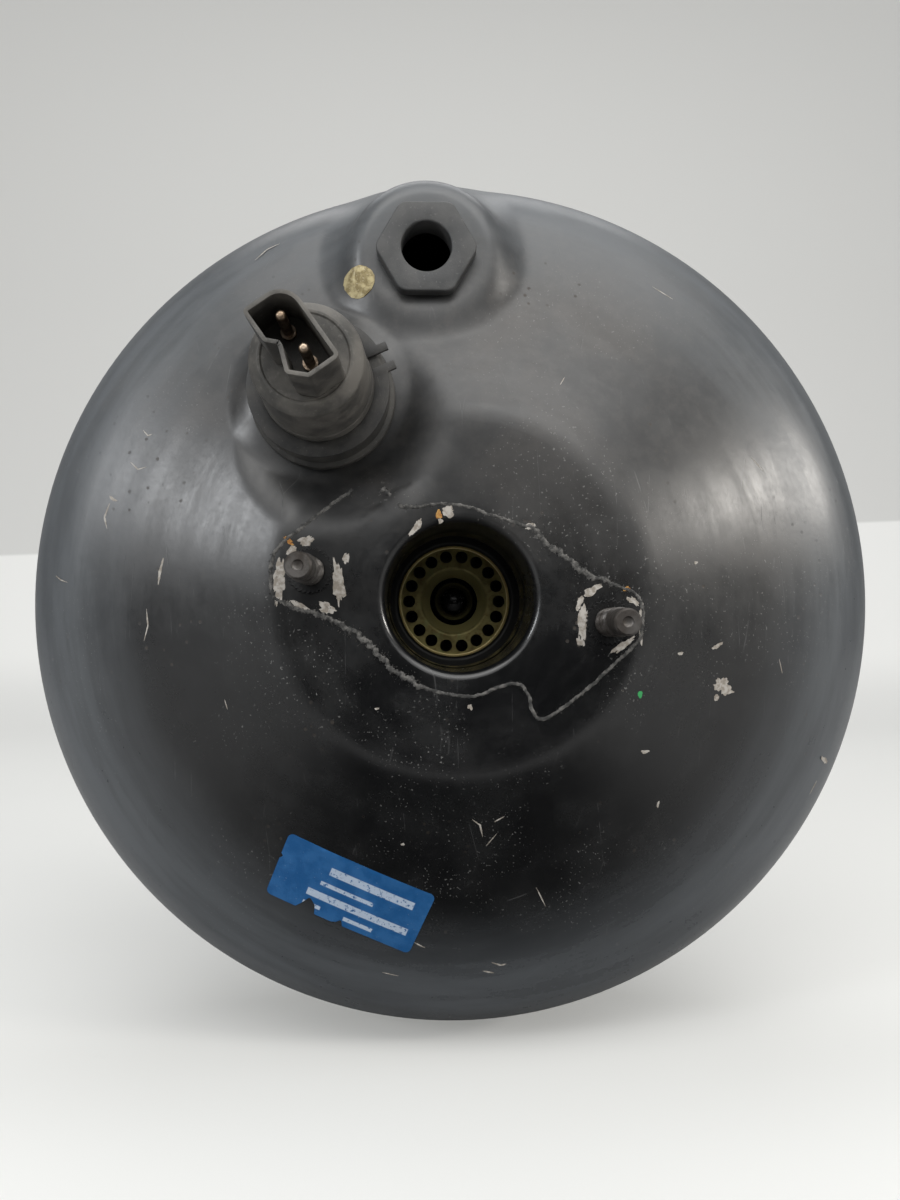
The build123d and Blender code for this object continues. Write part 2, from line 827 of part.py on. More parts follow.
# Clevis and its lock nut on the end of the input rod
clevis_end = clevis_pin_y + clevis_height / 2
with BuildPart() as clevis:
    with BuildSketch(Plane.YZ):
        with Locations(((clevis_start + clevis_pin_y) / 2, 0)):
            Rectangle(clevis_pin_y - clevis_start, clevis_height)
        with Locations((clevis_pin_y, 0)):
            Circle(clevis_height / 2)
            Circle(clevis_pin_radius, mode=Mode.SUBTRACT)
    extrude(amount=clevis_width / 2, both=True)
    with BuildSketch(Plane.XY):
        with Locations(((0, (rod_end + gap + clevis_end + gap) / 2))):
            Rectangle(clevis_slot, clevis_end - rod_end)
    extrude(amount=clevis_height, both=True, mode=Mode.SUBTRACT)
    with BuildSketch(facing_front(clevis_start)):
        Circle(rod_radius + press_fit)
    extrude(amount=-(rod_end + gap - clevis_start), mode=Mode.SUBTRACT)
finish(clevis.part, "clevis")

with BuildPart() as lock_nut:
    with BuildSketch(facing_front(clevis_start)):
        RegularPolygon(nut_flats / 2, 6, major_radius=False)
        Circle(rod_radius + press_fit, mode=Mode.SUBTRACT)
    extrude(amount=nut_height)
finish(lock_nut.part, "clevis_lock_nut")

# Travel sensor: grommet, body with its keyed socket, pins, spring clip, feeler and its spring
seat_axis = axis_at(seat_x, seat_z)
foot_fit = sensor_foot_radius + press_fit
with BuildPart() as grommet:
    with BuildSketch(section_at(seat_x, seat_z)):
        add(
            outline(
                (foot_fit, seat_y + shell_wall + grommet_lip),
                (grommet_neck_radius + grommet_lip / 2, seat_y + shell_wall + grommet_lip),
                (grommet_neck_radius + grommet_lip, seat_y + shell_wall),
                (grommet_neck_radius, seat_y + shell_wall),
                (grommet_neck_radius, seat_y),
                (grommet_flange_radius, seat_y),
                (grommet_flange_radius, seat_y - grommet_flange),
                (grommet_radius, seat_y - grommet_flange - grommet_chamfer),
                (grommet_radius, seat_y - grommet_height + grommet_chamfer),
                (grommet_radius - grommet_chamfer, seat_y - grommet_height),
                (foot_fit, seat_y - grommet_height),
            )
        )
    revolve(axis=seat_axis)
finish(grommet.part, "sensor_grommet")

clip_seat_y = seat_y - grommet_height
clip_front_y = clip_seat_y - clip_thickness - press_fit
clip_groove_radius = clip_inner_radius - press_fit
cap_y = seat_y - sensor_cap_height
chamber_y = seat_y - sensor_chamber_height
with BuildPart() as sensor_body:
    with BuildSketch(section_at(seat_x, seat_z)):
        add(
            outline(
                (0, seat_y + sensor_tube_length),
                (sensor_tube_radius, seat_y + sensor_tube_length),
                (sensor_tube_radius, seat_y + sensor_foot_length),
                (sensor_foot_radius, seat_y + sensor_foot_length),
                (sensor_foot_radius, clip_seat_y),
                (clip_groove_radius, clip_seat_y),
                (clip_groove_radius, clip_front_y),
                (sensor_base_radius, clip_front_y),
                (sensor_cap_radius, cap_y),
                (sensor_face_radius, seat_y - sensor_face_height),
                (0, seat_y - sensor_face_height),
            )
        )
    revolve(axis=seat_axis)
    with BuildSketch(facing_front(cap_y + socket_wall)):
        with Locations(Location((seat_x, seat_z, 0), (0, 0, socket_turn))):
            add(offset(socket_area(), amount=socket_wall, mode=Mode.PRIVATE))
    extrude(amount=socket_height - sensor_cap_height + socket_wall)
    with BuildSketch(facing_front(seat_y - socket_height)):
        with Locations(Location((seat_x, seat_z, 0), (0, 0, socket_turn))):
            add(socket_area())
    extrude(amount=-(socket_height - socket_floor_height), mode=Mode.SUBTRACT)
    with BuildSketch(facing_front(seat_y + sensor_tube_length)):
        with Locations((seat_x, seat_z)):
            Circle(feeler_radius + running_fit)
    extrude(amount=sensor_tube_length + sensor_chamber_height, mode=Mode.SUBTRACT)
finish(sensor_body.part, "sensor_body")

floor_height_y = seat_y - socket_floor_height
with BuildPart() as sensor_pins:
    for along in pin_places:
        place = facing_front(floor_height_y) * Location((seat_x, seat_z, 0), (0, 0, socket_turn))
        with BuildSketch(place * Location((along, 0, 0))):
            Circle(pin_base_radius)
        extrude(amount=pin_base_height)
        with BuildSketch(place * Location((along, 0, 0))):
            Circle(pin_radius)
        extrude(amount=pin_height - socket_floor_height)
    tips = sensor_pins.faces().group_by(Axis.Y)[0]
    fillet(tips.edges(), pin_tip_round)
finish(sensor_pins.part, "sensor_pins")

lug_length = clip_lug_reach - clip_inner_radius
lug_middle = (clip_lug_reach + clip_inner_radius) / 2
with BuildPart() as clip:
    turned = Location((seat_x, seat_z, 0), (0, 0, clip_gap_angle))
    with BuildSketch(facing_front(clip_seat_y) * turned):
        Circle(clip_radius)
        Circle(clip_inner_radius, mode=Mode.SUBTRACT)
        with Locations((lug_middle, 0)):
            Rectangle(lug_length, clip_gap_width + 2 * clip_lug_width)
            Rectangle(lug_length + 2 * gap, clip_gap_width, mode=Mode.SUBTRACT)
        Circle(clip_inner_radius, mode=Mode.SUBTRACT)
    extrude(amount=clip_thickness)
finish(clip.part, "sensor_clip")

feeler_end_y = -plate_gap - gap
feeler_front_y = seat_y + feeler_depth
feeler_bore_y = feeler_front_y + feeler_bore_length
with BuildPart() as feeler:
    with BuildSketch(section_at(seat_x, seat_z)):
        add(
            outline(
                (feeler_bore, feeler_front_y),
                (feeler_radius, feeler_front_y),
                (feeler_radius, feeler_end_y - feeler_radius / 2),
                (feeler_radius / 2, feeler_end_y),
                (0, feeler_end_y),
                (0, feeler_bore_y),
                (feeler_bore, feeler_bore_y),
            )
        )
    revolve(axis=seat_axis)
finish(feeler.part, "sensor_feeler")

with BuildPart() as feeler_spring:
    with BuildSketch(section_at(seat_x, seat_z)):
        add(ring(feeler_bore / 2, feeler_bore - gap, chamber_y + gap, feeler_bore_y - gap))
    revolve(axis=seat_axis)
finish(feeler_spring.part, "feeler_spring")
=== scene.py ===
import json
import math
import random

import bpy
import numpy as np
from bpy.props import FloatProperty, FloatVectorProperty, IntProperty, PointerProperty
from mathutils import Matrix, Vector
from mathutils.geometry import delaunay_2d_cdt


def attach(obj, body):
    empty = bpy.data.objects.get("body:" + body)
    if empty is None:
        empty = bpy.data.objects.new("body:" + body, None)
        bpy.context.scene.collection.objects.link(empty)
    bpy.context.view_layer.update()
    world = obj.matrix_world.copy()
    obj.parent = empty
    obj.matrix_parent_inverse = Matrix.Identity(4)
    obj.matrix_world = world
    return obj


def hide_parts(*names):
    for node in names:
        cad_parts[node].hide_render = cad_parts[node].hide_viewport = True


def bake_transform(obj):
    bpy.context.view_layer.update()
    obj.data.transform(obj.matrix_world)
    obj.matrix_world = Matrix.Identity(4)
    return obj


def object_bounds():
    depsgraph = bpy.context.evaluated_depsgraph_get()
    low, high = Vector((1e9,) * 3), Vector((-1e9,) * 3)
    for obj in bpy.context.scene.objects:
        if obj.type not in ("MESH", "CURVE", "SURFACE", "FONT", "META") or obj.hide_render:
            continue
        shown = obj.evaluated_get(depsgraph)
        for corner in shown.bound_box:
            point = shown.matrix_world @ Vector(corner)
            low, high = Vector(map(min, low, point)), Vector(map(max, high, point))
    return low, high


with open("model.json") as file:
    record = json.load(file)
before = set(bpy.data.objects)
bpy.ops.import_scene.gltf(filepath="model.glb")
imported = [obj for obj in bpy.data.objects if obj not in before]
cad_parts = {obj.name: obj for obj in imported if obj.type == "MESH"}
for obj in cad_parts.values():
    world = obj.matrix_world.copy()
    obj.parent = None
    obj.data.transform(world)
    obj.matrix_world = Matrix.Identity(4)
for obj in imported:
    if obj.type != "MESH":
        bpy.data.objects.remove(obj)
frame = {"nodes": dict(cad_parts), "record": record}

bl_info = {
    "name": "Brake booster",
    "version": (1, 0, 0),
    "blender": (4, 5, 0),
    "location": "3D View > Sidebar > Booster",
    "description": "Dresses the packed brake booster with its visible pieces and finishes",
    "category": "Object",
}

CAD_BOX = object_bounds()
MM = 0.001
TURN = 2 * math.pi


class Value:
    """A shader socket whose operators add Math nodes."""

    def __init__(self, tree, socket):
        self.tree = tree
        self.socket = socket

    def math(self, operation, first, second):
        node = self.tree.nodes.new("ShaderNodeMath")
        node.operation = operation
        for slot, item in zip(node.inputs, (first, second)):
            plug(self.tree, item, slot)
        return Value(self.tree, node.outputs[0])

    def __add__(self, other):
        return self.math("ADD", self, other)

    def __sub__(self, other):
        return self.math("SUBTRACT", self, other)

    def __rsub__(self, other):
        return self.math("SUBTRACT", other, self)

    def __mul__(self, other):
        return self.math("MULTIPLY", self, other)

    __radd__ = __add__
    __rmul__ = __mul__

    def most(self, other):
        return self.math("MAXIMUM", self, other)


def plug(tree, item, slot):
    """Link a Value into a socket, or set the socket to a plain number or colour."""
    if isinstance(item, Value):
        tree.links.new(item.socket, slot)
    elif hasattr(item, "__len__") and len(slot.default_value) == 4 and len(item) == 3:
        slot.default_value = (*item, 1.0)
    else:
        slot.default_value = item


class Finish:
    """A material and the nodes that make it, in metres on the object's own coordinates."""

    def __init__(self, name):
        self.material = bpy.data.materials.new(name)
        self.material.use_nodes = True
        self.tree = self.material.node_tree
        self.tree.nodes.clear()
        self.place = self.node("ShaderNodeTexCoord", output="Object")

    def node(self, kind, sockets=None, output=0, **settings):
        """Add a node: its settings first, then the values or links of its sockets."""
        node = self.tree.nodes.new(kind)
        for name, item in settings.items():
            setattr(node, name, item)
        for name, item in (sockets or {}).items():
            plug(self.tree, item, node.inputs[name])
        return Value(self.tree, node.outputs[output])

    def noise(self, size, detail=3.0, rough=0.55, place=None):
        """Noise from 0 to 1 whose features are about size metres across."""
        sockets = {"Vector": place or self.place, "Scale": 1 / size, "Detail": detail, "Roughness": rough}
        return self.node("ShaderNodeTexNoise", sockets)

    def cells(self, size, feature="F1", place=None):
        sockets = {"Vector": place or self.place, "Scale": 1 / size}
        return self.node("ShaderNodeTexVoronoi", sockets, feature=feature)

    def rise(self, value, low, high):
        """0 below low and 1 above high, with a smooth step between them."""
        sockets = {"Value": value, "From Min": low, "From Max": high}
        return self.node("ShaderNodeMapRange", sockets, interpolation_type="SMOOTHSTEP")

    def patches(self, size, low, high, detail=3.0, rough=0.55):
        """Soft-edged patches about size metres across."""
        return self.rise(self.noise(size, detail, rough), low, high)

    def part(self, axis, vector=None):
        """One coordinate of a vector, or of the place in the piece."""
        return self.node("ShaderNodeSeparateXYZ", {0: vector or self.place}, output=axis)

    def end_on(self):
        """The place as seen along the booster's axis."""
        return self.node("ShaderNodeMapping", {"Vector": self.place, "Scale": (1.0, 0.0, 1.0)})

    def length(self, vector, origin=(0.0, 0.0, 0.0)):
        return self.node("ShaderNodeVectorMath", {0: vector, 1: origin}, output="Value", operation="DISTANCE")

    def mix(self, factor, first, second):
        sockets = {0: factor, 6: first, 7: second}
        return self.node("ShaderNodeMix", sockets, output=2, data_type="RGBA")

    def bump(self, height, distance, strength=1.0):
        sockets = {"Strength": strength, "Distance": distance, "Height": height}
        return self.node("ShaderNodeBump", sockets, output="Normal")

    def surface(self, **sockets):
        """The Principled shader; socket names have underscores for spaces."""
        named = {name.replace("_", " "): item for name, item in sockets.items()}
        shader = self.node("ShaderNodeBsdfPrincipled", named)
        output = self.tree.nodes.new("ShaderNodeOutputMaterial")
        self.tree.links.new(shader.socket, output.inputs[0])
        return self.material


WIPED_PLACE = (0.012, 0.0, -0.052)


def black_paint():
    """Old black paint on pressed steel: haze, dust, pits, scratches and a wiped place below the face; the
    upper part is paler, from dust and from painted light from above, and a paler bluish band round the rim is
    a painted reflection.
    """
    f = Finish("black_paint")
    broad = f.noise(0.045, 4.0)
    cloud = f.noise(0.016, 5.0, 0.6)
    grain = f.noise(0.0016, 2.0)
    drawn_out = {"Vector": f.place, "Rotation": (0.0, 0.5, 0.0), "Scale": (1.0, 1.0, 0.06)}
    swept = f.node("ShaderNodeMapping", drawn_out)
    scratch = 1 - f.rise(f.cells(0.011, "DISTANCE_TO_EDGE", swept), 0.0, 0.010)
    scratch = scratch * f.rise(cloud, 0.54, 0.66)
    dust = f.patches(0.0007, 0.68, 0.74, 1.0) * f.rise(broad, 0.50, 0.62)
    pits = (1 - f.rise(f.cells(0.0042), 0.09, 0.16)) * f.patches(0.03, 0.5, 0.68, 2.0)
    haze = f.rise(cloud * 0.6 + broad * 0.4, 0.42, 0.68)
    # paler and rougher towards the top: a film of dust, and painted light from above
    dust_and_painted_top_light = f.rise(f.part("Z"), -0.030, 0.115)
    tone = f.mix(haze, (0.0035, 0.0037, 0.0041), (0.0105, 0.0108, 0.0112))
    tone = f.mix(dust_and_painted_top_light * (0.5 + haze * 0.5), tone, (0.041, 0.0415, 0.0415))
    tone = f.mix(dust_and_painted_top_light * f.rise(broad, 0.48, 0.66) * 0.5, tone, (0.056, 0.048, 0.041))
    mottle = f.patches(0.005, 0.42, 0.68, 4.0, 0.7)
    tone = f.mix(dust_and_painted_top_light * mottle * 0.30, tone, (0.078, 0.072, 0.066))
    tone = f.mix(pits * 0.8, tone, (0.035, 0.026, 0.018))
    tone = f.mix(dust * 0.5, tone, (0.22, 0.22, 0.21))
    tone = f.mix(scratch * 0.22, tone, (0.16, 0.16, 0.16))
    flat = f.end_on()
    reach = f.length(flat)
    outward = f.node("ShaderNodeVectorMath", {0: flat}, operation="NORMALIZE")
    around = [f.part(axis, outward) * 1.8 for axis in "XZ"]
    wipes = f.node("ShaderNodeCombineXYZ", {0: reach * 150, 1: around[0], 2: around[1]})
    sweep = f.rise(f.noise(1.0, 4.0, 0.65, wipes), 0.36, 0.66)
    # painted reflection: a paler bluish band round the rim, streaked where the wipe marks run
    rim = f.rise(reach, 0.086, 0.126)
    tone = f.mix(rim * (0.6 + sweep * 0.25), tone, (0.100, 0.109, 0.118))
    wiped = f.rise(f.length(flat, WIPED_PLACE), 0.085, 0.030)
    gloss = (0.31 + dust_and_painted_top_light * 0.10 + haze * 0.07 + (sweep - 0.5) * 0.07 + (grain - 0.5) * 0.10 + dust * 0.2
             + pits * 0.3 - wiped * 0.10)
    height = grain * 0.10 + cloud * 0.5 - scratch * 0.25 - pits * 0.3
    return f.surface(Base_Color=tone, Roughness=gloss, Normal=f.bump(height, 0.00012, 0.8), IOR=1.5,
                     Specular_IOR_Level=0.6, Coat_Weight=0.12, Coat_Roughness=0.25)


def bare_primer():
    """Where paint has chipped off: beige primer with paler and browner patches."""
    f = Finish("bare_primer")
    cloud = f.noise(0.0016, 4.0, 0.6)
    tone = f.mix(f.rise(cloud, 0.38, 0.62), (0.24, 0.212, 0.178), (0.41, 0.385, 0.35))
    return f.surface(Base_Color=tone, Roughness=0.7, Normal=f.bump(cloud, 0.0001, 0.8))


def rust():
    f = Finish("rust")
    cloud = f.noise(0.0009, 4.0, 0.65)
    tone = f.mix(f.rise(cloud, 0.36, 0.62), (0.30, 0.12, 0.025), (0.42, 0.24, 0.07))
    return f.surface(Base_Color=tone, Roughness=0.85, Normal=f.bump(cloud, 0.0002, 1.0))


def green_paint():
    f = Finish("green_paint")
    tone = f.mix(f.noise(0.0008), (0.02, 0.26, 0.07), (0.05, 0.38, 0.12))
    return f.surface(Base_Color=tone, Roughness=0.5)


def sensor_plastic():
    """Glass-filled plastic with dust, and paler patches round the socket's mouth."""
    f = Finish("sensor_plastic")
    cloud = f.patches(0.010, 0.36, 0.68, 4.0, 0.6)
    grain = f.noise(0.0006, 2.0)
    dust = f.patches(0.0012, 0.60, 0.74, 2.0)
    along = f.part("Y")
    paler_mouth_patches = (1 - f.rise(along, -0.17305, -0.1722)) * f.patches(0.004, 0.3, 0.7, 3.0)
    tone = f.mix(cloud, (0.052, 0.050, 0.046), (0.125, 0.117, 0.104))
    tone = f.mix(dust * 0.25, tone, (0.2, 0.19, 0.175))
    tone = f.mix(paler_mouth_patches * 0.45, tone, (0.20, 0.19, 0.175))
    return f.surface(Base_Color=tone, Roughness=0.5 + cloud * 0.12, Specular_IOR_Level=0.4,
                     Normal=f.bump(grain + cloud * 0.3, 0.00006, 0.8))


def plain_metal(name, tint, dull, stained, roughness, metallic=1.0, size=0.004):
    """Bare or plated metal with stains, handling marks and a fine turned grain."""
    f = Finish(name)
    stain = f.patches(size, 0.42, 0.66, 4.0, 0.6)
    patch = f.patches(size * 4, 0.5, 0.62, 3.0)
    grain = f.noise(size * 0.12, 2.0)
    tone = f.mix(stain, tint, dull)
    tone = f.mix(patch * 0.6, tone, stained)
    gloss = roughness + stain * 0.14 + (grain - 0.5) * 0.12
    return f.surface(Base_Color=tone, Metallic=metallic, Roughness=gloss,
                     Normal=f.bump(grain * 0.4 + stain * 0.6, 0.00005, 0.7))


def moulded(name, tint, worn, roughness, size=0.003, grain_depth=0.00006, specular=0.5):
    """Rubber, plastic or painted rubbery surface with dust in its grain."""
    f = Finish(name)
    cloud = f.patches(size * 3, 0.36, 0.68, 4.0, 0.6)
    grain = f.noise(size * 0.14, 2.0)
    dust = f.patches(size * 0.3, 0.62, 0.74, 2.0)
    tone = f.mix(cloud, tint, worn)
    tone = f.mix(dust * 0.22, tone, (0.25, 0.24, 0.23))
    gloss = roughness + cloud * 0.1 + dust * 0.1
    return f.surface(Base_Color=tone, Roughness=gloss, Specular_IOR_Level=specular,
                     Normal=f.bump(grain + cloud * 0.3, grain_depth, 0.7))


def yellow_zinc(name="yellow_zinc", with_painted_highlights=False):
    """Yellow passivated zinc: olive to straw, with a faint play of brown and green.

    The guide plate also has painted highlights, on the funnel round its bore and as a bright line on its
    rolled edge, and a near-black shoulder outside that edge.
    """
    f = Finish(name)
    cloud = f.noise(0.007, 4.0, 0.6)
    fine = f.noise(0.0013, 3.0)
    tone = f.mix(f.rise(cloud, 0.35, 0.62), (0.19, 0.155, 0.050), (0.34, 0.29, 0.105))
    tone = f.mix(f.rise(fine, 0.52, 0.7) * 0.5, tone, (0.17, 0.085, 0.03))
    tone = f.mix(f.patches(0.004, 0.55, 0.7, 2.0) * 0.4, tone, (0.20, 0.26, 0.10))
    gloss = 0.30 + cloud * 0.14 + fine * 0.1
    if with_painted_highlights:
        flat = f.end_on()
        reach = f.length(flat)
        # painted highlight: the funnel round the bore is paler
        tone = f.mix(f.rise(reach, 0.0110, 0.0104), tone, (0.62, 0.55, 0.22))
        # painted highlight: a bright line on the rolled edge
        tone = f.mix(f.rise(reach, 0.0176, 0.0179), tone, (0.85, 0.70, 0.34))
        tone = f.mix(f.rise(reach, 0.0183, 0.0186), tone, (0.012, 0.012, 0.011))
    return f.surface(Base_Color=tone, Metallic=0.45, Roughness=gloss, Normal=f.bump(fine, 0.00003, 0.6))


def label_film():
    """Blue foil with pale printed bars in place of any words."""
    f = Finish("label_film")
    uv = f.node("ShaderNodeTexCoord", output="UV")
    cloud = f.patches(0.006, 0.4, 0.65, 4.0, 0.6)
    fine = f.noise(0.0007, 3.0, 0.6)
    across = f.part("X", uv)
    up = f.part("Y", uv)
    bars = None
    for low, high, left, right in LABEL_BARS:
        tall = f.rise(up, low - 0.006, low + 0.006) * (1 - f.rise(up, high - 0.006, high + 0.006))
        wide = f.rise(across, left - 0.003, left + 0.003) * (1 - f.rise(across, right - 0.003, right + 0.003))
        bars = tall * wide if bars is None else bars.most(tall * wide)
    worn = f.patches(0.0012, 0.34, 0.46, 3.0, 0.7)
    tone = f.mix(cloud, (0.004, 0.078, 0.235), (0.012, 0.104, 0.285))
    tone = f.mix(bars * worn * 0.8, tone, (0.50, 0.58, 0.68))
    tone = f.mix(f.rise(fine, 0.66, 0.76) * 0.5, tone, (0.3, 0.35, 0.42))
    return f.surface(Base_Color=tone, Roughness=0.38 + cloud * 0.12,
                     Normal=f.bump(fine + cloud, 0.00005, 0.6))


LABEL_BARS = [  # bottom, top, left, right as shares of the label
    (0.66, 0.78, 0.33, 0.90), (0.47, 0.53, 0.30, 0.66), (0.25, 0.36, 0.24, 0.93), (0.09, 0.15, 0.24, 0.36),
    (0.09, 0.15, 0.52, 0.72),
]


def gold_paint():
    """A dab of gold paint with a hammered skin."""
    f = Finish("gold_paint")
    flakes = f.noise(0.0007, 4.0, 0.7)
    cloud = f.noise(0.002, 3.0)
    tone = f.mix(f.rise(cloud, 0.35, 0.65), (0.20, 0.155, 0.07), (0.46, 0.39, 0.22))
    tone = f.mix(f.rise(flakes, 0.55, 0.7) * 0.5, tone, (0.62, 0.57, 0.42))
    return f.surface(Base_Color=tone, Metallic=0.5, Roughness=0.5 + cloud * 0.15,
                     Normal=f.bump(flakes, 0.0001, 0.8))


def dried_sealant():
    """Crumbly grey residue."""
    f = Finish("dried_sealant")
    cloud = f.noise(0.0018, 4.0, 0.65)
    tone = f.mix(f.rise(cloud, 0.38, 0.66), (0.028, 0.028, 0.027), (0.135, 0.130, 0.122))
    return f.surface(Base_Color=tone, Roughness=0.85, Normal=f.bump(cloud, 0.0003, 1.0))


METALS = {  # tint, dull and stained colours, roughness, then metallic and size where they differ
    "raw_steel": ((0.42, 0.41, 0.39), (0.26, 0.24, 0.22), (0.20, 0.13, 0.08), 0.36),
    "stud_steel": ((0.145, 0.137, 0.13), (0.08, 0.074, 0.068), (0.05, 0.041, 0.035), 0.46, 0.85, 0.003),
    "pin_metal": ((0.42, 0.33, 0.25), (0.30, 0.22, 0.15), (0.20, 0.14, 0.09), 0.34, 1.0, 0.0015),
    "spring_steel": ((0.10, 0.10, 0.095), (0.06, 0.058, 0.055), (0.12, 0.07, 0.04), 0.42),
    "rod_steel": ((0.30, 0.295, 0.285), (0.18, 0.175, 0.165), (0.14, 0.11, 0.08), 0.38),
}
MOULDED = {  # fresh and worn colours, roughness, then size, depth of the grain and specular where they differ
    "fitting_paint": ((0.037, 0.038, 0.039), (0.068, 0.068, 0.067), 0.48),
    "oiled_steel": ((0.002, 0.002, 0.002), (0.004, 0.0035, 0.003), 0.07, 0.003, 0.00006, 0.3),
    "grommet_rubber": ((0.028, 0.0275, 0.026), (0.064, 0.061, 0.055), 0.60),
    "clip_plastic": ((0.018, 0.018, 0.0175), (0.040, 0.038, 0.035), 0.50, 0.002),
    "rubber": ((0.018, 0.018, 0.018), (0.035, 0.034, 0.033), 0.66),
    "housing_plastic": ((0.10, 0.085, 0.06), (0.15, 0.13, 0.10), 0.5),
    "filter_foam": ((0.05, 0.05, 0.052), (0.09, 0.088, 0.085), 0.9, 0.002, 0.0004, 0.2),
    "feeler_plastic": ((0.42, 0.41, 0.38), (0.34, 0.32, 0.28), 0.45),
}


def make_finishes():
    """One finish for each material slot of the record, and those of the scene's own pieces.

    A function that makes a single finish has that finish's name.
    """
    finishes = {name: plain_metal(name, *looks) for name, looks in METALS.items()}
    finishes.update({name: moulded(name, *looks) for name, looks in MOULDED.items()})
    finishes["guide_zinc_painted_highlights"] = yellow_zinc("guide_zinc_painted_highlights", True)
    for make in (black_paint, sensor_plastic, yellow_zinc, label_film, gold_paint, dried_sealant, bare_primer,
                 rust, green_paint):
        finishes[make.__name__] = make()
    return finishes


def deselect():
    if bpy.context.mode != "OBJECT":
        bpy.ops.object.mode_set(mode="OBJECT")
    bpy.ops.object.select_all(action="DESELECT")


def activate(obj):
    deselect()
    obj.select_set(True)
    bpy.context.view_layer.objects.active = obj
    return obj


def new_piece(name, verts, faces, edges=()):
    """A mesh object from points in millimetres."""
    mesh = bpy.data.meshes.new(name)
    mesh.from_pydata([tuple(c * MM for c in v) for v in verts], list(edges), list(faces))
    obj = bpy.data.objects.new(name, mesh)
    bpy.context.scene.collection.objects.link(obj)
    return activate(obj)


def modified(obj, kind, **settings):
    """Add a modifier with its settings and apply it."""
    activate(obj)
    modifier = obj.modifiers.new(kind.lower(), kind)
    for name, item in settings.items():
        setattr(modifier, name, item)
    bpy.ops.object.modifier_apply(modifier=modifier.name)
    return obj


def tidy_mesh(obj, merge=0.00001, outwards=True):
    activate(obj)
    bpy.ops.object.mode_set(mode="EDIT")
    bpy.ops.mesh.select_all(action="SELECT")
    bpy.ops.mesh.remove_doubles(threshold=merge)
    if outwards:
        bpy.ops.mesh.normals_make_consistent(inside=False)
    bpy.ops.object.mode_set(mode="OBJECT")
    return obj


def smooth(obj, degrees):
    activate(obj)
    bpy.ops.object.shade_smooth_by_angle(angle=math.radians(degrees))
    return obj


def settle(obj, finish, replaced=None, body="housing"):
    """Place applied, finish given, and the piece set to ride on its body."""
    activate(obj)
    bpy.ops.object.transform_apply(location=True, rotation=True, scale=True)
    obj.data.materials.clear()
    obj.data.materials.append(FINISHES[finish])
    if body:
        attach(obj, body)
    if replaced:
        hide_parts(replaced)
    return obj


def lofted(total, count, ends="capped"):
    """Faces between total rows of count points each; ends is capped, open or joined."""
    faces = []
    for k in range(total if ends == "joined" else total - 1):
        a, b = k * count, (k + 1) % total * count
        faces += [(a + i, a + (i + 1) % count, b + (i + 1) % count, b + i) for i in range(count)]
    if ends == "capped":
        faces += [tuple(range(count)), tuple(range((total - 1) * count, total * count))]
    return faces


def point(x, z, radius, y, turn):
    """A point round a line through (x, z) that is parallel to the booster's axis."""
    return x + radius * math.cos(turn), y, z + radius * math.sin(turn)


def built(name, verts, faces, degrees, merge=0.00001, bevel=None):
    """A piece from its points and faces, cleaned, bevelled if asked for, and shaded smooth."""
    obj = tidy_mesh(new_piece(name, verts, faces), merge)
    if bevel:
        width, segments, limit = bevel
        modified(obj, "BEVEL", width=width * MM, segments=segments, limit_method="ANGLE",
                 angle_limit=math.radians(limit))
    return smooth(obj, degrees)


def spun(name, profile, degrees, x=0.0, z=0.0, steps=96):
    """A closed profile of (radius, y) points turned about a line parallel to the booster's axis."""
    verts = [(x + r, y, z) for r, y in profile]
    count = len(verts)
    edges = [(i, (i + 1) % count) for i in range(count)]
    obj = new_piece(name, verts, [], edges)
    bpy.ops.object.mode_set(mode="EDIT")
    bpy.ops.mesh.select_all(action="SELECT")
    bpy.ops.mesh.spin(steps=steps, angle=TURN, center=(x * MM, 0, z * MM), axis=(0, 1, 0))
    bpy.ops.object.mode_set(mode="OBJECT")
    return smooth(tidy_mesh(obj), degrees)


def rounded(corners, radii, steps=5):
    """The corners of a closed outline with each one turned into an arc."""
    out = []
    count = len(corners)
    for i in range(count):
        here = Vector(corners[i])
        before = (Vector(corners[i - 1]) - here)
        after = (Vector(corners[(i + 1) % count]) - here)
        r = radii[i] if hasattr(radii, "__len__") else radii
        half = before.angle(after) / 2
        if r <= 0 or abs(half - math.pi / 2) < 1e-4:
            out.append(tuple(here))
            continue
        reach = min(r / math.tan(half), before.length * 0.49, after.length * 0.49)
        r = reach * math.tan(half)
        start = here + before.normalized() * reach
        end = here + after.normalized() * reach
        centre = here + (before.normalized() + after.normalized()).normalized() * (r / math.sin(half))
        a, b = start - centre, end - centre
        total = a.angle_signed(b)
        for k in range(steps + 1):
            arm = a.copy()
            arm.rotate(Matrix.Rotation(-total * k / steps, 2))
            out.append(tuple(centre + arm))
    return out


SHELL_RADIUS, FACE_Y, FACE_RADIUS, SLOPE = 134.5, -122.0, 52.0, math.radians(20)
FACE_BEND, SHOULDER_BEND, WALL, PLATE_RADIUS, PLATE_THICKNESS = 14.0, 24.0, 2.0, 49.0, 3.0
BOSS, BOSS_Y, BOSS_RADIUS = (-9.4, 100.8), -111.5, 22.5
SEAT, SEAT_Y, SEAT_RADIUS = (-38.7, 56.8), -114.0, 23.0
DRAFT, SEAT_DRAFT = math.radians(14), math.radians(46)
SLOPE_LENGTH = (SHELL_RADIUS - FACE_RADIUS) / math.cos(SLOPE)
FACE_REACH = FACE_BEND * math.tan(SLOPE / 2)
SHOULDER_REACH = SHOULDER_BEND * math.tan((math.pi / 2 - SLOPE) / 2)
SHOULDER_Y = FACE_Y + (SHELL_RADIUS - FACE_RADIUS) * math.tan(SLOPE) + SHOULDER_REACH
SHOULDER_R = SHELL_RADIUS - SHOULDER_BEND
STUDS, REAR_STUD = [(41.6, -7.1), (-41.6, 7.1)], 40
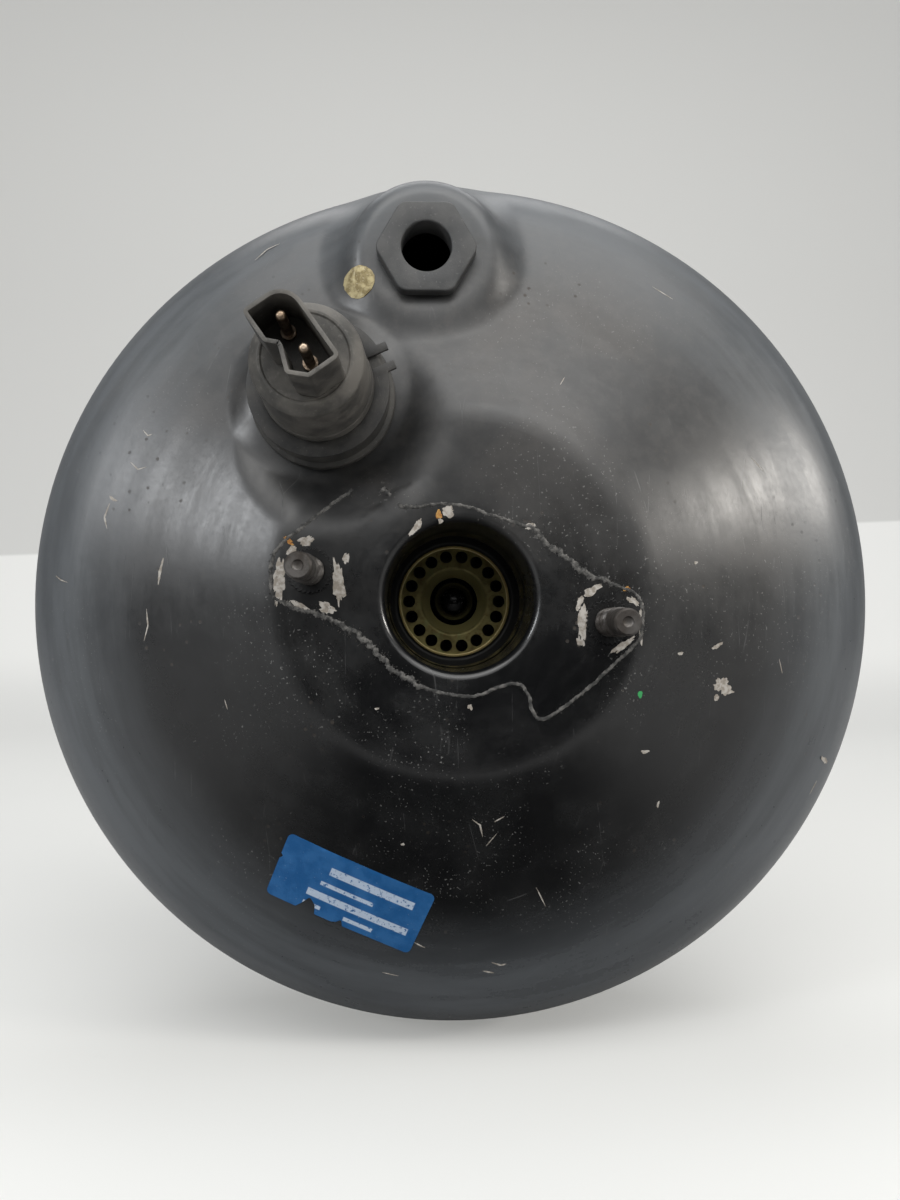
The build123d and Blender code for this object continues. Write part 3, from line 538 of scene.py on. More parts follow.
STUD_HOLE, BOSS_HOLE, SEAT_HOLE = 5.35, 9.05, 16.45
COLLAR_ROOM, SEAT_ROOM, FACE_START = 29.05, 34.0, 33.0
RECESS_BEND, RECESS_EDGE, RECESS_SLACK = 3.0, 7.5, 1.0
PAD_EDGE, PAD_FOOT, BOSS_EDGE, BOSS_FOOT = 4.0, 5.0, 5.0, 8.0
HALVINGS = 26


def dome_gap(r, y):
    """Signed distance from the dome's outer skin, in millimetres."""
    along = (r - FACE_RADIUS) * math.cos(SLOPE) + (y - FACE_Y) * math.sin(SLOPE)
    slope = (r - FACE_RADIUS) * math.sin(SLOPE) - (y - FACE_Y) * math.cos(SLOPE)
    face_bend = np.hypot(r - (FACE_RADIUS - FACE_REACH), y - (FACE_Y + FACE_BEND)) - FACE_BEND
    shoulder = np.hypot(r - SHOULDER_R, y - SHOULDER_Y) - SHOULDER_BEND
    out = np.where(along < FACE_REACH, face_bend, slope)
    out = np.where(along > SLOPE_LENGTH - SHOULDER_REACH, shoulder, out)
    out = np.where(r < FACE_RADIUS - FACE_REACH, FACE_Y - y, out)
    return np.where((y > SHOULDER_Y) & (r > SHOULDER_R), r - SHELL_RADIUS, out)


def joined(a, b, bend):
    """Union of two forms with a fillet of that radius."""
    u = np.maximum(bend - a, 0)
    v = np.maximum(bend - b, 0)
    return np.maximum(bend, np.minimum(a, b)) - np.hypot(u, v)


def common(a, b, bend):
    """What two forms share, with its edge rounded."""
    u = np.maximum(bend + a, 0)
    v = np.maximum(bend + b, 0)
    return np.minimum(-bend, np.maximum(a, b)) + np.hypot(u, v)


def front_gap(x, y, z):
    """Signed distance from the front shell's outer skin with its boss and seat."""
    body = dome_gap(np.hypot(x, z), y)
    reach = np.hypot(x - SEAT[0], z - SEAT[1])
    flare = (SEAT_Y - y) * math.tan(SEAT_DRAFT)
    side = (reach - SEAT_RADIUS + RECESS_SLACK - flare) * math.cos(SEAT_DRAFT)
    body = common(body, -common(y - SEAT_Y, side, RECESS_BEND), RECESS_EDGE)
    flare = (SEAT_Y - y) * math.tan(DRAFT)
    pad = common(SEAT_Y - y, (reach - SEAT_RADIUS + flare) * math.cos(DRAFT), PAD_EDGE)
    body = joined(body, pad, PAD_FOOT)
    reach = np.hypot(x - BOSS[0], z - BOSS[1])
    flare = (y - BOSS_Y) * math.tan(DRAFT)
    boss = common(BOSS_Y - y, (reach - BOSS_RADIUS - flare) * math.cos(DRAFT), BOSS_EDGE)
    return joined(body, boss, BOSS_FOOT)


def ripple(x, z):
    """The slight unevenness that pressing leaves in the dome, away from its edges."""
    reach = np.hypot(x, z)
    fade = np.clip((reach - 36) / 12, 0, 1) * np.clip((126 - reach) / 10, 0, 1)
    return fade * (0.07 * np.sin(x / 15 + 1.1) * np.sin(z / 19 + 0.4) + 0.05 * np.sin(x / 31 - z / 23))


def halved(low, high, shape, before):
    """The place between two limits up to which the test before() holds, found by halving."""
    low, high = np.full(shape, low), np.full(shape, high)
    for _ in range(HALVINGS):
        middle = (low + high) / 2
        early = before(middle)
        low, high = np.where(early, middle, low), np.where(early, high, middle)
    return (low + high) / 2


def front_y(x, z):
    """Where the front skin lies over points of the face plane."""
    x, z = np.asarray(x, float), np.asarray(z, float)
    return halved(FACE_Y - 6.0, SHOULDER_Y + 8.0, x.shape, lambda y: front_gap(x, y, z) > 0) + ripple(x, z)


def side_radius(turn, y):
    """Where the skin lies at the side of the drum."""
    return halved(110.0, 145.0, turn.shape, lambda r: front_gap(r * np.cos(turn), y, r * np.sin(turn)) < 0)


def circle(x, z, radius, count, phase=0.0):
    turns = np.arange(count) * TURN / count + phase
    return x + radius * np.cos(turns), z + radius * np.sin(turns)


def turned(points, angle, centre):
    """Points of a plane figure turned and set about a centre."""
    c, s = math.cos(angle), math.sin(angle)
    return [(centre[0] + u * c - v * s, centre[1] + u * s + v * c) for u, v in points]


class BoosterStageSettings(bpy.types.PropertyGroup):
    floor_color: FloatVectorProperty(name="Floor", description="Colour of the floor", subtype="COLOR",
                                     default=(0.50, 0.503, 0.495))
    wall_color: FloatVectorProperty(name="Wall", description="Colour of the wall above the floor",
                                    subtype="COLOR", default=(0.40, 0.402, 0.395))
    key_power: FloatProperty(name="Key light", description="Power of the large front light", unit="POWER",
                             default=17.0)
    camera_place: FloatVectorProperty(name="Camera", description="Where the camera stands",
                                      subtype="TRANSLATION", unit="LENGTH",
                                      default=(-0.00972, -0.3717, -0.00761))


class BoosterHousingSettings(bpy.types.PropertyGroup):
    wall: FloatProperty(name="Wall", description="Thickness of the pressed steel", unit="LENGTH",
                        default=0.002)
    segments: IntProperty(name="Segments", description="Points round the drum", default=240)
    ridge_width: FloatProperty(name="Residue width", description="Width of the residue's ridge",
                               unit="LENGTH", default=0.0011)


class BOOSTER_OT_stage(bpy.types.Operator):
    """Floor, backdrop, lights, world and camera"""
    bl_idname = "booster.stage"
    bl_label = "Stage"

    def execute(self, context):
        settings = context.scene.booster_stage
        f = Finish("stage_paper")
        cloud = f.noise(0.5, 3.0)
        height = f.part("Z")
        across = f.part("X")
        wall = f.rise(height - across * 0.045, 0.158, 0.166)
        scuffs = f.patches(0.02, 0.68, 0.72, 4.0, 0.7) * 0.06
        tone = f.mix(wall, settings.floor_color, settings.wall_color)
        tone = f.mix(scuffs, tone, (0.3, 0.3, 0.3))
        seen = f.node("ShaderNodeLightPath", output="Is Camera Ray")
        fill = f.mix(wall, (0.27, 0.27, 0.26), (0.285, 0.283, 0.272))
        fill = f.mix(f.rise(height, -0.135, -0.05) * (1 - wall), fill, (0.38, 0.378, 0.365))
        fill = f.mix(f.rise(f.part("Y"), -0.08, -0.165), fill, (0.36, 0.362, 0.352))
        low = CAD_BOX[0][2]
        aside = f.length(f.place, (0.0, -0.22, low))
        shade = f.rise(aside, 0.22, 0.06) * f.node("ShaderNodeLightPath", output="Is Glossy Ray")
        tone = f.mix(seen, (0.42, 0.42, 0.42), tone)
        tone = f.mix(shade, tone, (0.02, 0.02, 0.02))
        fill = f.mix(seen, (0.0, 0.0, 0.0), fill)
        f.surface(Base_Color=tone, Roughness=0.9 - cloud * 0.1, Specular_IOR_Level=0.2, Emission_Color=fill,
                  Emission_Strength=1.0)
        bend, wall_y, steps = 0.9, 1.65, 24
        profile = [(-6.0, low), (wall_y - bend, low)]
        for k in range(1, steps + 1):
            a = math.radians(90 * k / steps)
            profile.append((wall_y - bend + bend * math.sin(a), low + bend - bend * math.cos(a)))
        profile.append((wall_y, 5.0))
        verts = [(side / MM, y / MM, z / MM) for side in (-7.0, 7.0) for y, z in profile]
        count = len(profile)
        faces = [(i, i + 1, count + i + 1, count + i) for i in range(count - 1)]
        paper = new_piece("backdrop", verts, faces)
        tidy_mesh(paper, outwards=False)
        smooth(paper, 60)
        paper.data.materials.append(f.material)
        dark = Finish("dark_card")
        dark.surface(Base_Color=(0.01, 0.01, 0.01), Roughness=0.9)
        corners = [(-300, -560, -135), (300, -560, -135), (260, -600, 90), (-260, -600, 90)]
        card = new_piece("dark_card", corners, [(0, 1, 2, 3)])
        card.data.materials.append(dark.material)
        card.visible_camera = False

        scene = context.scene
        world = scene.world or bpy.data.worlds.new("World")
        scene.world = world
        world.use_nodes = True
        tree = world.node_tree
        tree.nodes.clear()
        sky = tree.nodes.new("ShaderNodeBackground")
        sky.inputs[0].default_value = (0.80, 0.82, 0.84, 1.0)
        sky.inputs[1].default_value = 0.35
        out = tree.nodes.new("ShaderNodeOutputWorld")
        tree.links.new(sky.outputs[0], out.inputs[0])

        def area(name, place, aim, size, power, tint=(1, 1, 1)):
            data = bpy.data.lights.new(name, "AREA")
            data.shape = "RECTANGLE"
            data.size, data.size_y = size
            data.energy = power
            data.color = tint
            lamp = bpy.data.objects.new(name, data)
            scene.collection.objects.link(lamp)
            lamp.location = place
            lamp.rotation_euler = (Vector(aim) - Vector(place)).to_track_quat("-Z", "Y").to_euler()

        area("key", (0.15, -0.95, 1.35), (0, 0, 0.05), (1.9, 1.1), settings.key_power, (1.0, 0.99, 0.97))
        area("left", (-1.1, -0.95, 0.48), (0, 0, 0), (0.24, 0.34), 6.0, (0.96, 0.98, 1.0))
        area("right", (1.25, -0.65, 0.46), (0, 0, 0), (0.3, 0.14), 7.0, (1.0, 0.96, 0.90))
        area("top", (0.0, 0.45, 1.6), (0, 0.2, 0), (1.6, 0.9), 9.0)
        area("front", (0.0, -2.2, 1.45), (0, 0, 0.1), (3.2, 1.7), 27.0, (1.0, 0.995, 0.98))

        camera = bpy.data.objects.new("camera", bpy.data.cameras.new("camera"))
        scene.collection.objects.link(camera)
        camera.location = settings.camera_place
        camera.rotation_euler = Vector((0.0278, 1.0, 0.0267)).to_track_quat("-Z", "Y").to_euler()
        camera.data.sensor_fit = "HORIZONTAL"
        camera.data.sensor_width = 36.0
        camera.data.lens = 36.0
        camera.data.clip_start = 0.01
        scene.camera = camera
        scene.view_settings.view_transform = "Standard"
        return {"FINISHED"}


class BOOSTER_OT_front_shell(bpy.types.Operator):
    """Front housing: dome with its collar, vacuum boss, sensor seat and crimped rim"""
    bl_idname = "booster.front_shell"
    bl_label = "Front shell"

    def execute(self, context):
        settings = context.scene.booster_housing
        count = settings.segments
        wall = settings.wall
        turns = np.arange(count) * TURN / count
        verts, faces = [], []

        def row(radius, y):
            start = len(verts)
            radius = np.broadcast_to(radius, turns.shape)
            verts.extend(zip(radius * np.cos(turns), np.full(count, y), radius * np.sin(turns)))
            return start

        def strip(a, b):
            for i in range(count):
                j = (i + 1) % count
                faces.append((a + i, a + j, b + j, b + i))

        opening, bend = 21.0, 2.4
        collar = [(opening, -80.0), (opening, -92.0), (21.1, -92.6), (21.3, -93.0), (21.3, -104.0),
                  (21.1, -104.4), (opening, -105.0), (opening, FACE_Y + bend)]
        for k in range(1, 9):
            a = math.radians(90 * k / 8)
            collar.append((opening + bend - bend * math.cos(a), FACE_Y + bend - bend * math.sin(a)))
        collar += [(27.0, FACE_Y), (FACE_START, FACE_Y)]
        rows = [row(r, y) for r, y in collar]
        for a, b in zip(rows, rows[1:]):
            strip(a, b)
        inner = rows[-1]

        slope_degrees, edge_degrees = 20, 84
        edge_turn = math.radians(edge_degrees)
        edge_y = SHOULDER_Y - SHOULDER_BEND * math.cos(edge_turn)
        edge_radius = side_radius(turns, edge_y)
        outer = row(edge_radius, edge_y)
        rows = [outer]
        for y in (SHOULDER_Y, -72.0, -68.0, -63.0, -58.0):
            rows.append(row(side_radius(turns, y), y))
        rim = [(SHELL_RADIUS, -54.0), (134.8, -53.0), (135.5, -52.3), (136.5, -52.0), (139.0, -52.0),
               (140.0, -51.7), (140.7, -51.0), (141.0, -50.0), (141.0, -45.7)]
        rows += [row(r, y) for r, y in rim]
        for a, b in zip(rows, rows[1:]):
            strip(a, b)

        xs, zs = [], []
        boss_zone, seat_zone, stud_zone, margin = 42.0, 38.0, 9.0, 0.25

        def take(x, z, zone):
            """Keep the points of a circle that lie in the zone, clear of the collar and the edge."""
            turn = np.arctan2(z, x) % TURN
            limit = np.interp(turn, np.append(turns, TURN), np.append(edge_radius, edge_radius[0]))
            keep = (np.hypot(x, z) > FACE_START + 1.0) & (np.hypot(x, z) < limit - margin)
            boss = np.hypot(x - BOSS[0], z - BOSS[1]) / boss_zone
            seat = np.hypot(x - SEAT[0], z - SEAT[1]) / seat_zone
            stud = np.min([np.hypot(x - a, z - b) for a, b in STUDS], axis=0) / stud_zone
            if zone == "boss":
                keep &= (boss <= 1.0) & (boss <= seat + 0.01)
            elif zone == "seat":
                keep &= (seat <= 1.0) & (seat < boss - 0.01)
            elif zone == "stud":
                keep &= stud <= 1.0
            else:
                keep &= (boss > 1.01) & (seat > 1.01) & (stud > 1.05)
            xs.extend(x[keep])
            zs.extend(z[keep])

        holes = []
        cuts = ((BOSS, BOSS_HOLE, 64), (SEAT, SEAT_HOLE, 96), *((stud, STUD_HOLE, 40) for stud in STUDS))
        for (x, z), radius, points in cuts:
            a, b = circle(x, z, radius, points)
            start = len(xs)
            xs.extend(a)
            zs.extend(b)
            holes.append((x, z, radius, start, points))
        for r in np.arange(36.0, SHOULDER_R + 7.5, 2.6):
            take(*circle(0, 0, r, int(round(TURN * r / 2.8)), r), "dome")
        for k in range(5, 21):
            steepness = math.radians(slope_degrees + (edge_degrees - slope_degrees) * k / 21)
            r = SHOULDER_R + SHOULDER_BEND * math.sin(steepness)
            take(*circle(0, 0, r, count, (k % 2) * math.pi / count), "dome")
        for reach in (11.0, 13.0, 15.0, 16.5, *np.arange(17.5, 38.0, 0.62), 39.0, 40.5, boss_zone):
            take(*circle(*BOSS, reach, max(64, int(TURN * reach / 1.15)), reach), "boss")
        for reach in (18.0, 19.0, *np.arange(20.0, 33.0, 0.6), 34.0, 35.2, 36.6, seat_zone):
            take(*circle(*SEAT, reach, int(TURN * reach / 1.15), reach), "seat")
        for place in STUDS:
            for reach in (6.2, 7.4, stud_zone):
                take(*circle(*place, reach, 40, reach), "stud")

        base = len(verts)
        xs, zs = np.array(xs), np.array(zs)
        ys = front_y(xs, zs)
        verts.extend(zip(xs, ys, zs))
        ring_in = list(range(inner, inner + count))
        ring_out = list(range(outer, outer + count))
        order = ring_in + ring_out + list(range(base, len(verts)))
        flat = [Vector((verts[i][0], verts[i][2])) for i in order]
        edges = [(i, (i + 1) % count) for i in range(count)]
        edges += [(count + i, count + (i + 1) % count) for i in range(count)]
        for _, _, _, start, points in holes:
            first = 2 * count + start
            edges += [(first + i, first + (i + 1) % points) for i in range(points)]
        places, _, tris, names, _, _ = delaunay_2d_cdt(flat, edges, [], 0, 1e-6)
        for tri in tris:
            centre = sum((places[i] for i in tri), Vector((0, 0))) / 3
            k = int(math.atan2(centre.y, centre.x) % TURN / TURN * count)
            sides = [flat[k], flat[(k + 1) % count], flat[count + k], flat[count + (k + 1) % count]]
            past_inner = (sides[1] - sides[0]).cross(centre - sides[0]) < 0
            past_outer = (sides[3] - sides[2]).cross(centre - sides[2]) < 0
            in_hole = any(math.hypot(centre.x - x, centre.y - z) < radius * 0.998
                          for x, z, radius, _, _ in holes)
            if past_inner and not past_outer and not in_hole:
                faces.append(tuple(order[names[i][0]] for i in tri))
        shell = new_piece("front_shell_skin", verts, faces)
        tidy_mesh(shell, 0.000002)
        on_slope = Vector((0.06, -0.119, -0.03))
        nearest = min(shell.data.polygons, key=lambda p: (p.center - on_slope).length)
        if nearest.normal.y > 0:
            shell.data.flip_normals()
        modified(shell, "SOLIDIFY", thickness=wall, offset=-1.0)
        smooth(shell, 45)
        settle(shell, "black_paint", "front_shell")
        return {"FINISHED"}


class BOOSTER_OT_front_plate(bpy.types.Operator):
    """Reinforcement plate behind the face, cut clear of the collar, the studs and the seat"""
    bl_idname = "booster.front_plate"
    bl_label = "Front reinforcement plate"

    def disc(self, radius, thickness, x=0.0, z=0.0):
        deselect()
        place = (x * MM, (FACE_Y + WALL + PLATE_THICKNESS / 2) * MM, z * MM)
        bpy.ops.mesh.primitive_cylinder_add(vertices=96, radius=radius * MM, depth=thickness * MM,
                                            location=place, rotation=(math.pi / 2, 0, 0))
        return bpy.context.object

    def execute(self, context):
        plate = self.disc(PLATE_RADIUS, PLATE_THICKNESS)
        plate.name = "front_plate_cut"
        cuts = ((COLLAR_ROOM, 0.0, 0.0), (SEAT_ROOM, *SEAT), *((STUD_HOLE, *stud) for stud in STUDS))
        for radius, x, z in cuts:
            cutter = self.disc(radius, 2 * PLATE_THICKNESS, x, z)
            modified(plate, "BOOLEAN", operation="DIFFERENCE", object=cutter, solver="EXACT")
            bpy.data.objects.remove(cutter)
        modified(plate, "TRIANGULATE")
        smooth(plate, 30)
        settle(plate, "raw_steel", "front_reinforcement_plate")
        return {"FINISHED"}


class BOOSTER_OT_crimp_tabs(bpy.types.Operator):
    """Tabs of the front shell's rim, bent over the rear shell"""
    bl_idname = "booster.crimp_tabs"
    bl_label = "Crimp tabs"

    def execute(self, context):
        corners = rounded([(137.1, -45.6), (141.0, -45.6), (141.0, -43.7), (137.1, -43.7)], 0.5, 3)
        tabs, span, steps = 8, 16, 12
        for index in range(tabs):
            verts = []
            for k in range(steps + 1):
                turn = math.radians(-360 / tabs * index + span * k / steps)
                verts += [(r * math.cos(turn), y, -r * math.sin(turn)) for r, y in corners]
            tab = built(f"crimp_tab_{index + 1}", verts, lofted(steps + 1, len(corners)), 30)
            settle(tab, "black_paint")
        return {"FINISHED"}


def drape(outline, spacing, lift):
    """Points and triangles of a patch that follows the front skin inside an outline of (x, z) points."""
    outline = [Vector(p) for p in outline]
    points = list(outline)
    low, high = [min(p[i] for p in outline) for i in (0, 1)], [max(p[i] for p in outline) for i in (0, 1)]
    x = low[0] + spacing / 2
    while x < high[0]:
        z = low[1] + spacing / 2
        while z < high[1]:
            points.append(Vector((x, z)))
            z += spacing
        x += spacing
    found = delaunay_2d_cdt(points, [], [list(range(len(outline)))], 1, 1e-5)
    xs, zs = np.array([p.x for p in found[0]]), np.array([p.y for p in found[0]])
    return list(zip(xs, front_y(xs, zs) - lift, zs)), [tuple(t) for t in found[2]]


def draped(name, outlines, spacing, lift, thickness, finish, uv=None):
    """Thin patches on the front shell, as one piece."""
    verts, faces = [], []
    for outline in outlines:
        points, tris = drape(outline, spacing, lift)
        faces += [tuple(i + len(verts) for i in t) for t in tris]
        verts += points
    obj = new_piece(name, verts, faces)
    tidy_mesh(obj, 0.000001, outwards=False)
    for face in obj.data.polygons:
        if face.normal.y > 0:
            face.flip()
    if uv:
        layer = obj.data.uv_layers.new(name="label")
        for loop in obj.data.loops:
            here = obj.data.vertices[loop.vertex_index].co
            layer.data[loop.index].uv = uv(here.x / MM, here.z / MM)
    modified(obj, "SOLIDIFY", thickness=thickness * MM, offset=-1.0)
    smooth(obj, 40)
    return settle(obj, finish)


def ragged(x, z, wide, tall, turn, rng, jag=0.32):
    """The outline of a chip: an ellipse with a torn edge."""
    count = max(16, int((wide + tall) * 9))
    turn = math.radians(turn)
    waves = [(k, rng.uniform(0, TURN), rng.uniform(0.4, 1.0) * jag / k ** 0.5) for k in (2, 3, 5, 8, 13)]
    out = []
    for i in range(count):
        a = TURN * i / count
        torn = sum(size * math.sin(k * a + phase) for k, phase, size in waves)
        reach = max(0.35, 1 + torn + rng.uniform(-0.1, 0.1))
        u, v = wide * reach * math.cos(a), tall * reach * math.sin(a)
        out.append((x + u * math.cos(turn) + v * math.sin(turn), z - u * math.sin(turn) + v * math.cos(turn)))
    return out


def streak(points, width, rng):
    """The outline of a scratch along a few points, tapered to both ends."""
    points = [Vector(p) for p in points]
    left, right = [], []
    steps = 6
    for i in range(len(points) - 1):
        for k in range(steps + (i == len(points) - 2)):
            t = k / steps
            share = (i + t) / (len(points) - 1)
            here = points[i].lerp(points[i + 1], t)
            ahead = points[i + 1] - points[i]
            side = Vector((-ahead.y, ahead.x)).normalized()
            half = width / 2 * (0.25 + 0.75 * math.sin(math.pi * share)) * rng.uniform(0.7, 1.2)
            left.append(here + side * half)
            right.append(here - side * half)
    return [tuple(p) for p in left + right[::-1]]


CHIPS = [  # x, z, half width, half height in millimetres, turn in degrees
    (-49.9, 4.6, 1.7, 5.8, 8), (-46.6, 12.6, 1.0, 1.8, 35), (-42.6, 15.4, 2.3, 1.2, -20),
    (-33.7, 3.9, 1.4, 6.2, -6), (-36.8, -3.2, 2.6, 1.3, 20), (-44.5, -2.4, 2.8, 0.8, 25),
    (-31.6, 10.6, 0.8, 1.6, 10), (34.2, -7.2, 1.4, 4.6, 6), (33.4, -1.6, 0.9, 1.8, 20),
    (37.0, 1.8, 3.0, 1.0, -25), (50.6, -7.4, 0.9, 4.6, 0), (45.4, -13.6, 4.0, 0.8, -38),
    (33.6, -12.4, 0.9, 1.7, -30), (48.4, -1.2, 1.9, 0.8, 35), (-12.2, 19.3, 0.9, 2.5, 30),
    (-3.3, 23.8, 1.8, 1.5, 0), (-5.4, 21.0, 0.6, 0.8, 0), (19.6, 19.7, 1.4, 0.9, -20),
    (77.0, -25.7, 2.6, 2.4, 20), (79.0, -27.4, 1.4, 0.7, 0), (75.0, -29.0, 0.9, 0.9, 0),
    (74.8, -14.0, 1.8, 0.6, -20), (63.0, -16.0, 0.8, 0.5, 0), (53.0, -44.0, 1.1, 0.6, 0),
    (114.2, -49.8, 1.5, 0.9, 30), (2.8, -30.6, 0.7, 0.7, 0), (68.0, 10.0, 0.6, 0.4, 0),
    (-102.6, 29.6, 1.3, 0.5, 30), (-16.0, -70.0, 0.5, 0.4, 0), (-23.0, -31.0, 0.5, 0.35, 0),
    (58.0, -60.0, 0.4, 0.9, 10),
]
SCRATCHES = [  # width, then the points along it
    (0.9, (-85.4, 11.5), (-86.4, 7.6), (-86.9, 3.7)),
    (0.45, (-90.6, -3.2), (-90.1, -8.0), (-91.4, -12.6)),
    (0.55, (-103.6, 28.4), (-105.2, 24.2), (-104.2, 20.6)),
    (0.4, (-97.4, 40.6), (-94.8, 38.2), (-92.0, 38.8)),
    (0.5, (-93.8, 50.2), (-92.2, 48.4), (-90.8, 48.8)),
    (0.35, (-121.4, 7.0), (-119.6, 5.7), (-117.2, 4.9)),
    (0.5, (3.6, -62.4), (5.8, -64.1), (6.6, -67.6)), (0.4, (9.8, -63.2), (12.6, -61.6)),
    (0.3, (10.6, -66.8), (7.6, -70.6)), (0.5, (10.2, -108.4), (13.0, -109.4), (14.6, -109.0)),
    (0.45, (7.6, -111.2), (11.0, -112.0)), (0.5, (-69.2, 121.4), (-66.8, 122.8)),
    (0.4, (-12.8, -101.4), (-9.6, -103.2)), (0.35, (22.6, -84.0), (25.6, -90.2)),
    (0.3, (60.0, 96.0), (66.4, 92.2)), (0.3, (-62.0, 104.0), (-58.4, 107.8), (-54.6, 109.6)),
    (0.3, (88.0, 42.6), (92.4, 38.2)), (0.3, (29.0, 61.0), (30.4, 63.4)),
    (0.3, (-66.4, -29.0), (-65.6, -31.8)), (0.3, (96.0, -18.0), (97.2, -22.4)),
    (0.3, (-22.4, -111.6), (-17.6, -112.8)), (0.4, (112.0, -56.2), (109.6, -60.4)),
]


class BOOSTER_OT_marks(bpy.types.Operator):
    """Blank label, dabs of paint, residue's ridge, chips, scratches and rust on the front shell"""
    bl_idname = "booster.marks"
    bl_label = "Label, paint, residue and wear"

    def label(self):
        corner = Vector((-48.5, -67.4))
        along = Vector((42.0, -18.8))
        length = along.length
        along.normalize()
        down = Vector((-8.0, -19.0)).normalized()
        width = 20.6
        shape = [(0, 0), (length, 0), (length, width), (24.6, width), (23.6, width - 1.9),
                 (22.4, width - 0.6), (21.0, width), (15.6, width), (14.8, width - 2.8),
                 (12.6, width - 4.6), (10.8, width - 1.6), (9.6, width), (0, width), (0, 8.6), (0.8, 7.6),
                 (0, 6.8)]
        radii = [1.6, 1.6, 1.6, 0.5, 0.4, 0.4, 0.5, 0.5, 0.5, 0.6, 0.5, 0.5, 1.6, 0.2, 0.3, 0.2]
        flat = rounded([corner + along * u + down * v for u, v in shape], radii, 4)

        def place(x, z):
            here = Vector((x, z)) - corner
            cross = along.x * down.y - along.y * down.x
            u = (here.x * down.y - here.y * down.x) / cross
            v = (along.x * here.y - along.y * here.x) / cross
            return u / length, 1 - v / width

        draped("blank_label", [flat], 1.6, 0.16, 0.14, "label_film", place)

    def dab(self, rng):
        middle, radius, count = (-29.1, 92.4), 4.7, 40
        outline = []
        for k in range(count):
            turn = TURN * k / count
            r = radius + 0.15 * math.sin(3 * turn) + rng.uniform(-0.12, 0.12)
            r += 0.3 * math.exp(-((turn - 1.6) / 0.22) ** 2)
            outline.append((middle[0] + r * math.cos(turn), middle[1] + r * math.sin(turn)))
        dot = draped("paint_dab", [outline], 0.7, 0.30, 0.25, "gold_paint")
        for vert in dot.data.vertices:
            x, z = vert.co.x / MM - middle[0], vert.co.z / MM - middle[1]
            vert.co.y += 0.00022 * (math.hypot(x, z) / 5) ** 4 - rng.uniform(0, 0.00008)

    def residue(self, rng, width):
        """Points and faces of the ridge along the old flange's print, and of its crumbs."""
        path = [(-30.0, 30.2), (-38.0, 24.0), (-49.6, 14.3), (-52.1, 9.6), (-52.0, 1.0), (-48.6, -1.8),
                (-40.1, -4.8), (-34.3, -7.1), (-27.7, -11.2), (-22.7, -15.6), (-17.7, -20.6),
                (-10.3, -25.0), (-1.7, -27.3), (4.7, -27.5), (11.4, -24.8), (16.4, -24.3), (18.6, -26.5),
                (24.2, -33.7), (47.4, -14.9), (50.9, -8.4), (50.9, -2.6), (48.6, 1.1), (42.7, 3.6),
                (34.9, 6.9), (28.2, 11.9), (23.7, 15.5), (20.1, 19.7), (17.3, 20.0), (10.6, 22.2),
                (2.0, 25.0), (-4.7, 25.8), (-14.7, 24.9), (-17.8, 27.1), (-22.0, 30.7)]
        rough = {5: 1.0, 6: 1.2, 7: 1.3, 8: 1.3, 9: 1.3, 10: 1.2, 22: 1.1, 23: 1.3, 24: 1.3, 25: 1.2,
                 31: 1.2, 32: 1.1}
        samples = []
        for index in range(len(path) - 1):
            a, b = Vector(path[index]), Vector(path[index + 1])
            before = Vector(path[max(index - 1, 0)])
            after = Vector(path[min(index + 2, len(path) - 1)])
            steps = max(2, int((b - a).length / 0.38))
            for k in range(steps):
                t = k / steps
                here = 0.5 * ((2 * a) + (b - before) * t + (2 * before - 5 * a + 4 * b - after) * t * t
                              + (3 * a - before - 3 * b + after) * t ** 3)
                samples.append((here, rough.get(index, 0.45)))
        verts = []
        profile = [(-1.0, -0.4), (-0.62, 0.55), (0.0, 1.0), (0.62, 0.55), (1.0, -0.4)]
        wobble = 0.0
        for index, (here, coarse) in enumerate(samples):
            ahead = samples[min(index + 1, len(samples) - 1)][0] - samples[max(index - 1, 0)][0]
            side = Vector((-ahead.y, ahead.x)).normalized()
            wobble = 0.72 * wobble + rng.uniform(-0.26, 0.26) * coarse
            half = width / 2 * (0.6 + 0.85 * coarse * rng.uniform(0.4, 1.8))
            tall = 0.16 + 0.32 * coarse * rng.uniform(0.2, 1.2)
            if index in (0, len(samples) - 1):
                half, tall = 0.15, 0.05
            for across, up in profile:
                spot = here + side * (wobble + across * half)
                verts.append((spot.x, up * tall, spot.y))
        crumbs = []
        for index in range(1, len(samples) - 1):
            here, coarse = samples[index]
            ahead = (samples[index + 1][0] - samples[index - 1][0]).normalized()
            side = Vector((-ahead.y, ahead.x))
            for _ in range(int(coarse * rng.uniform(0.5, 4.6))):
                middle = here + side * rng.gauss(0, 0.35 + 0.75 * coarse) + ahead * rng.uniform(-0.3, 0.3)
                lean = side * rng.uniform(0.3, 1.1) + ahead * rng.uniform(-0.6, 0.2)
                across = Vector((-lean.y, lean.x)).normalized() * rng.uniform(0.09, 0.2)
                start = len(verts)
                base = (middle - lean / 2, middle + across, middle + lean / 2, middle - across)
                verts += [(corner.x, -0.3, corner.y) for corner in base]
                verts.append((middle.x, rng.uniform(0.15, 0.5), middle.y))
                crumbs += [(start, start + 1, start + 4), (start + 1, start + 2, start + 4),
                           (start + 2, start + 3, start + 4), (start + 3, start, start + 4),
                           (start + 3, start + 2, start + 1, start)]
        px = np.array([v[0] for v in verts])
        pz = np.array([v[2] for v in verts])
        py = front_y(px, pz)
        verts = [(x, y - v[1], z) for x, y, z, v in zip(px, py, pz, verts)]
        return verts, lofted(len(samples), len(profile)) + crumbs

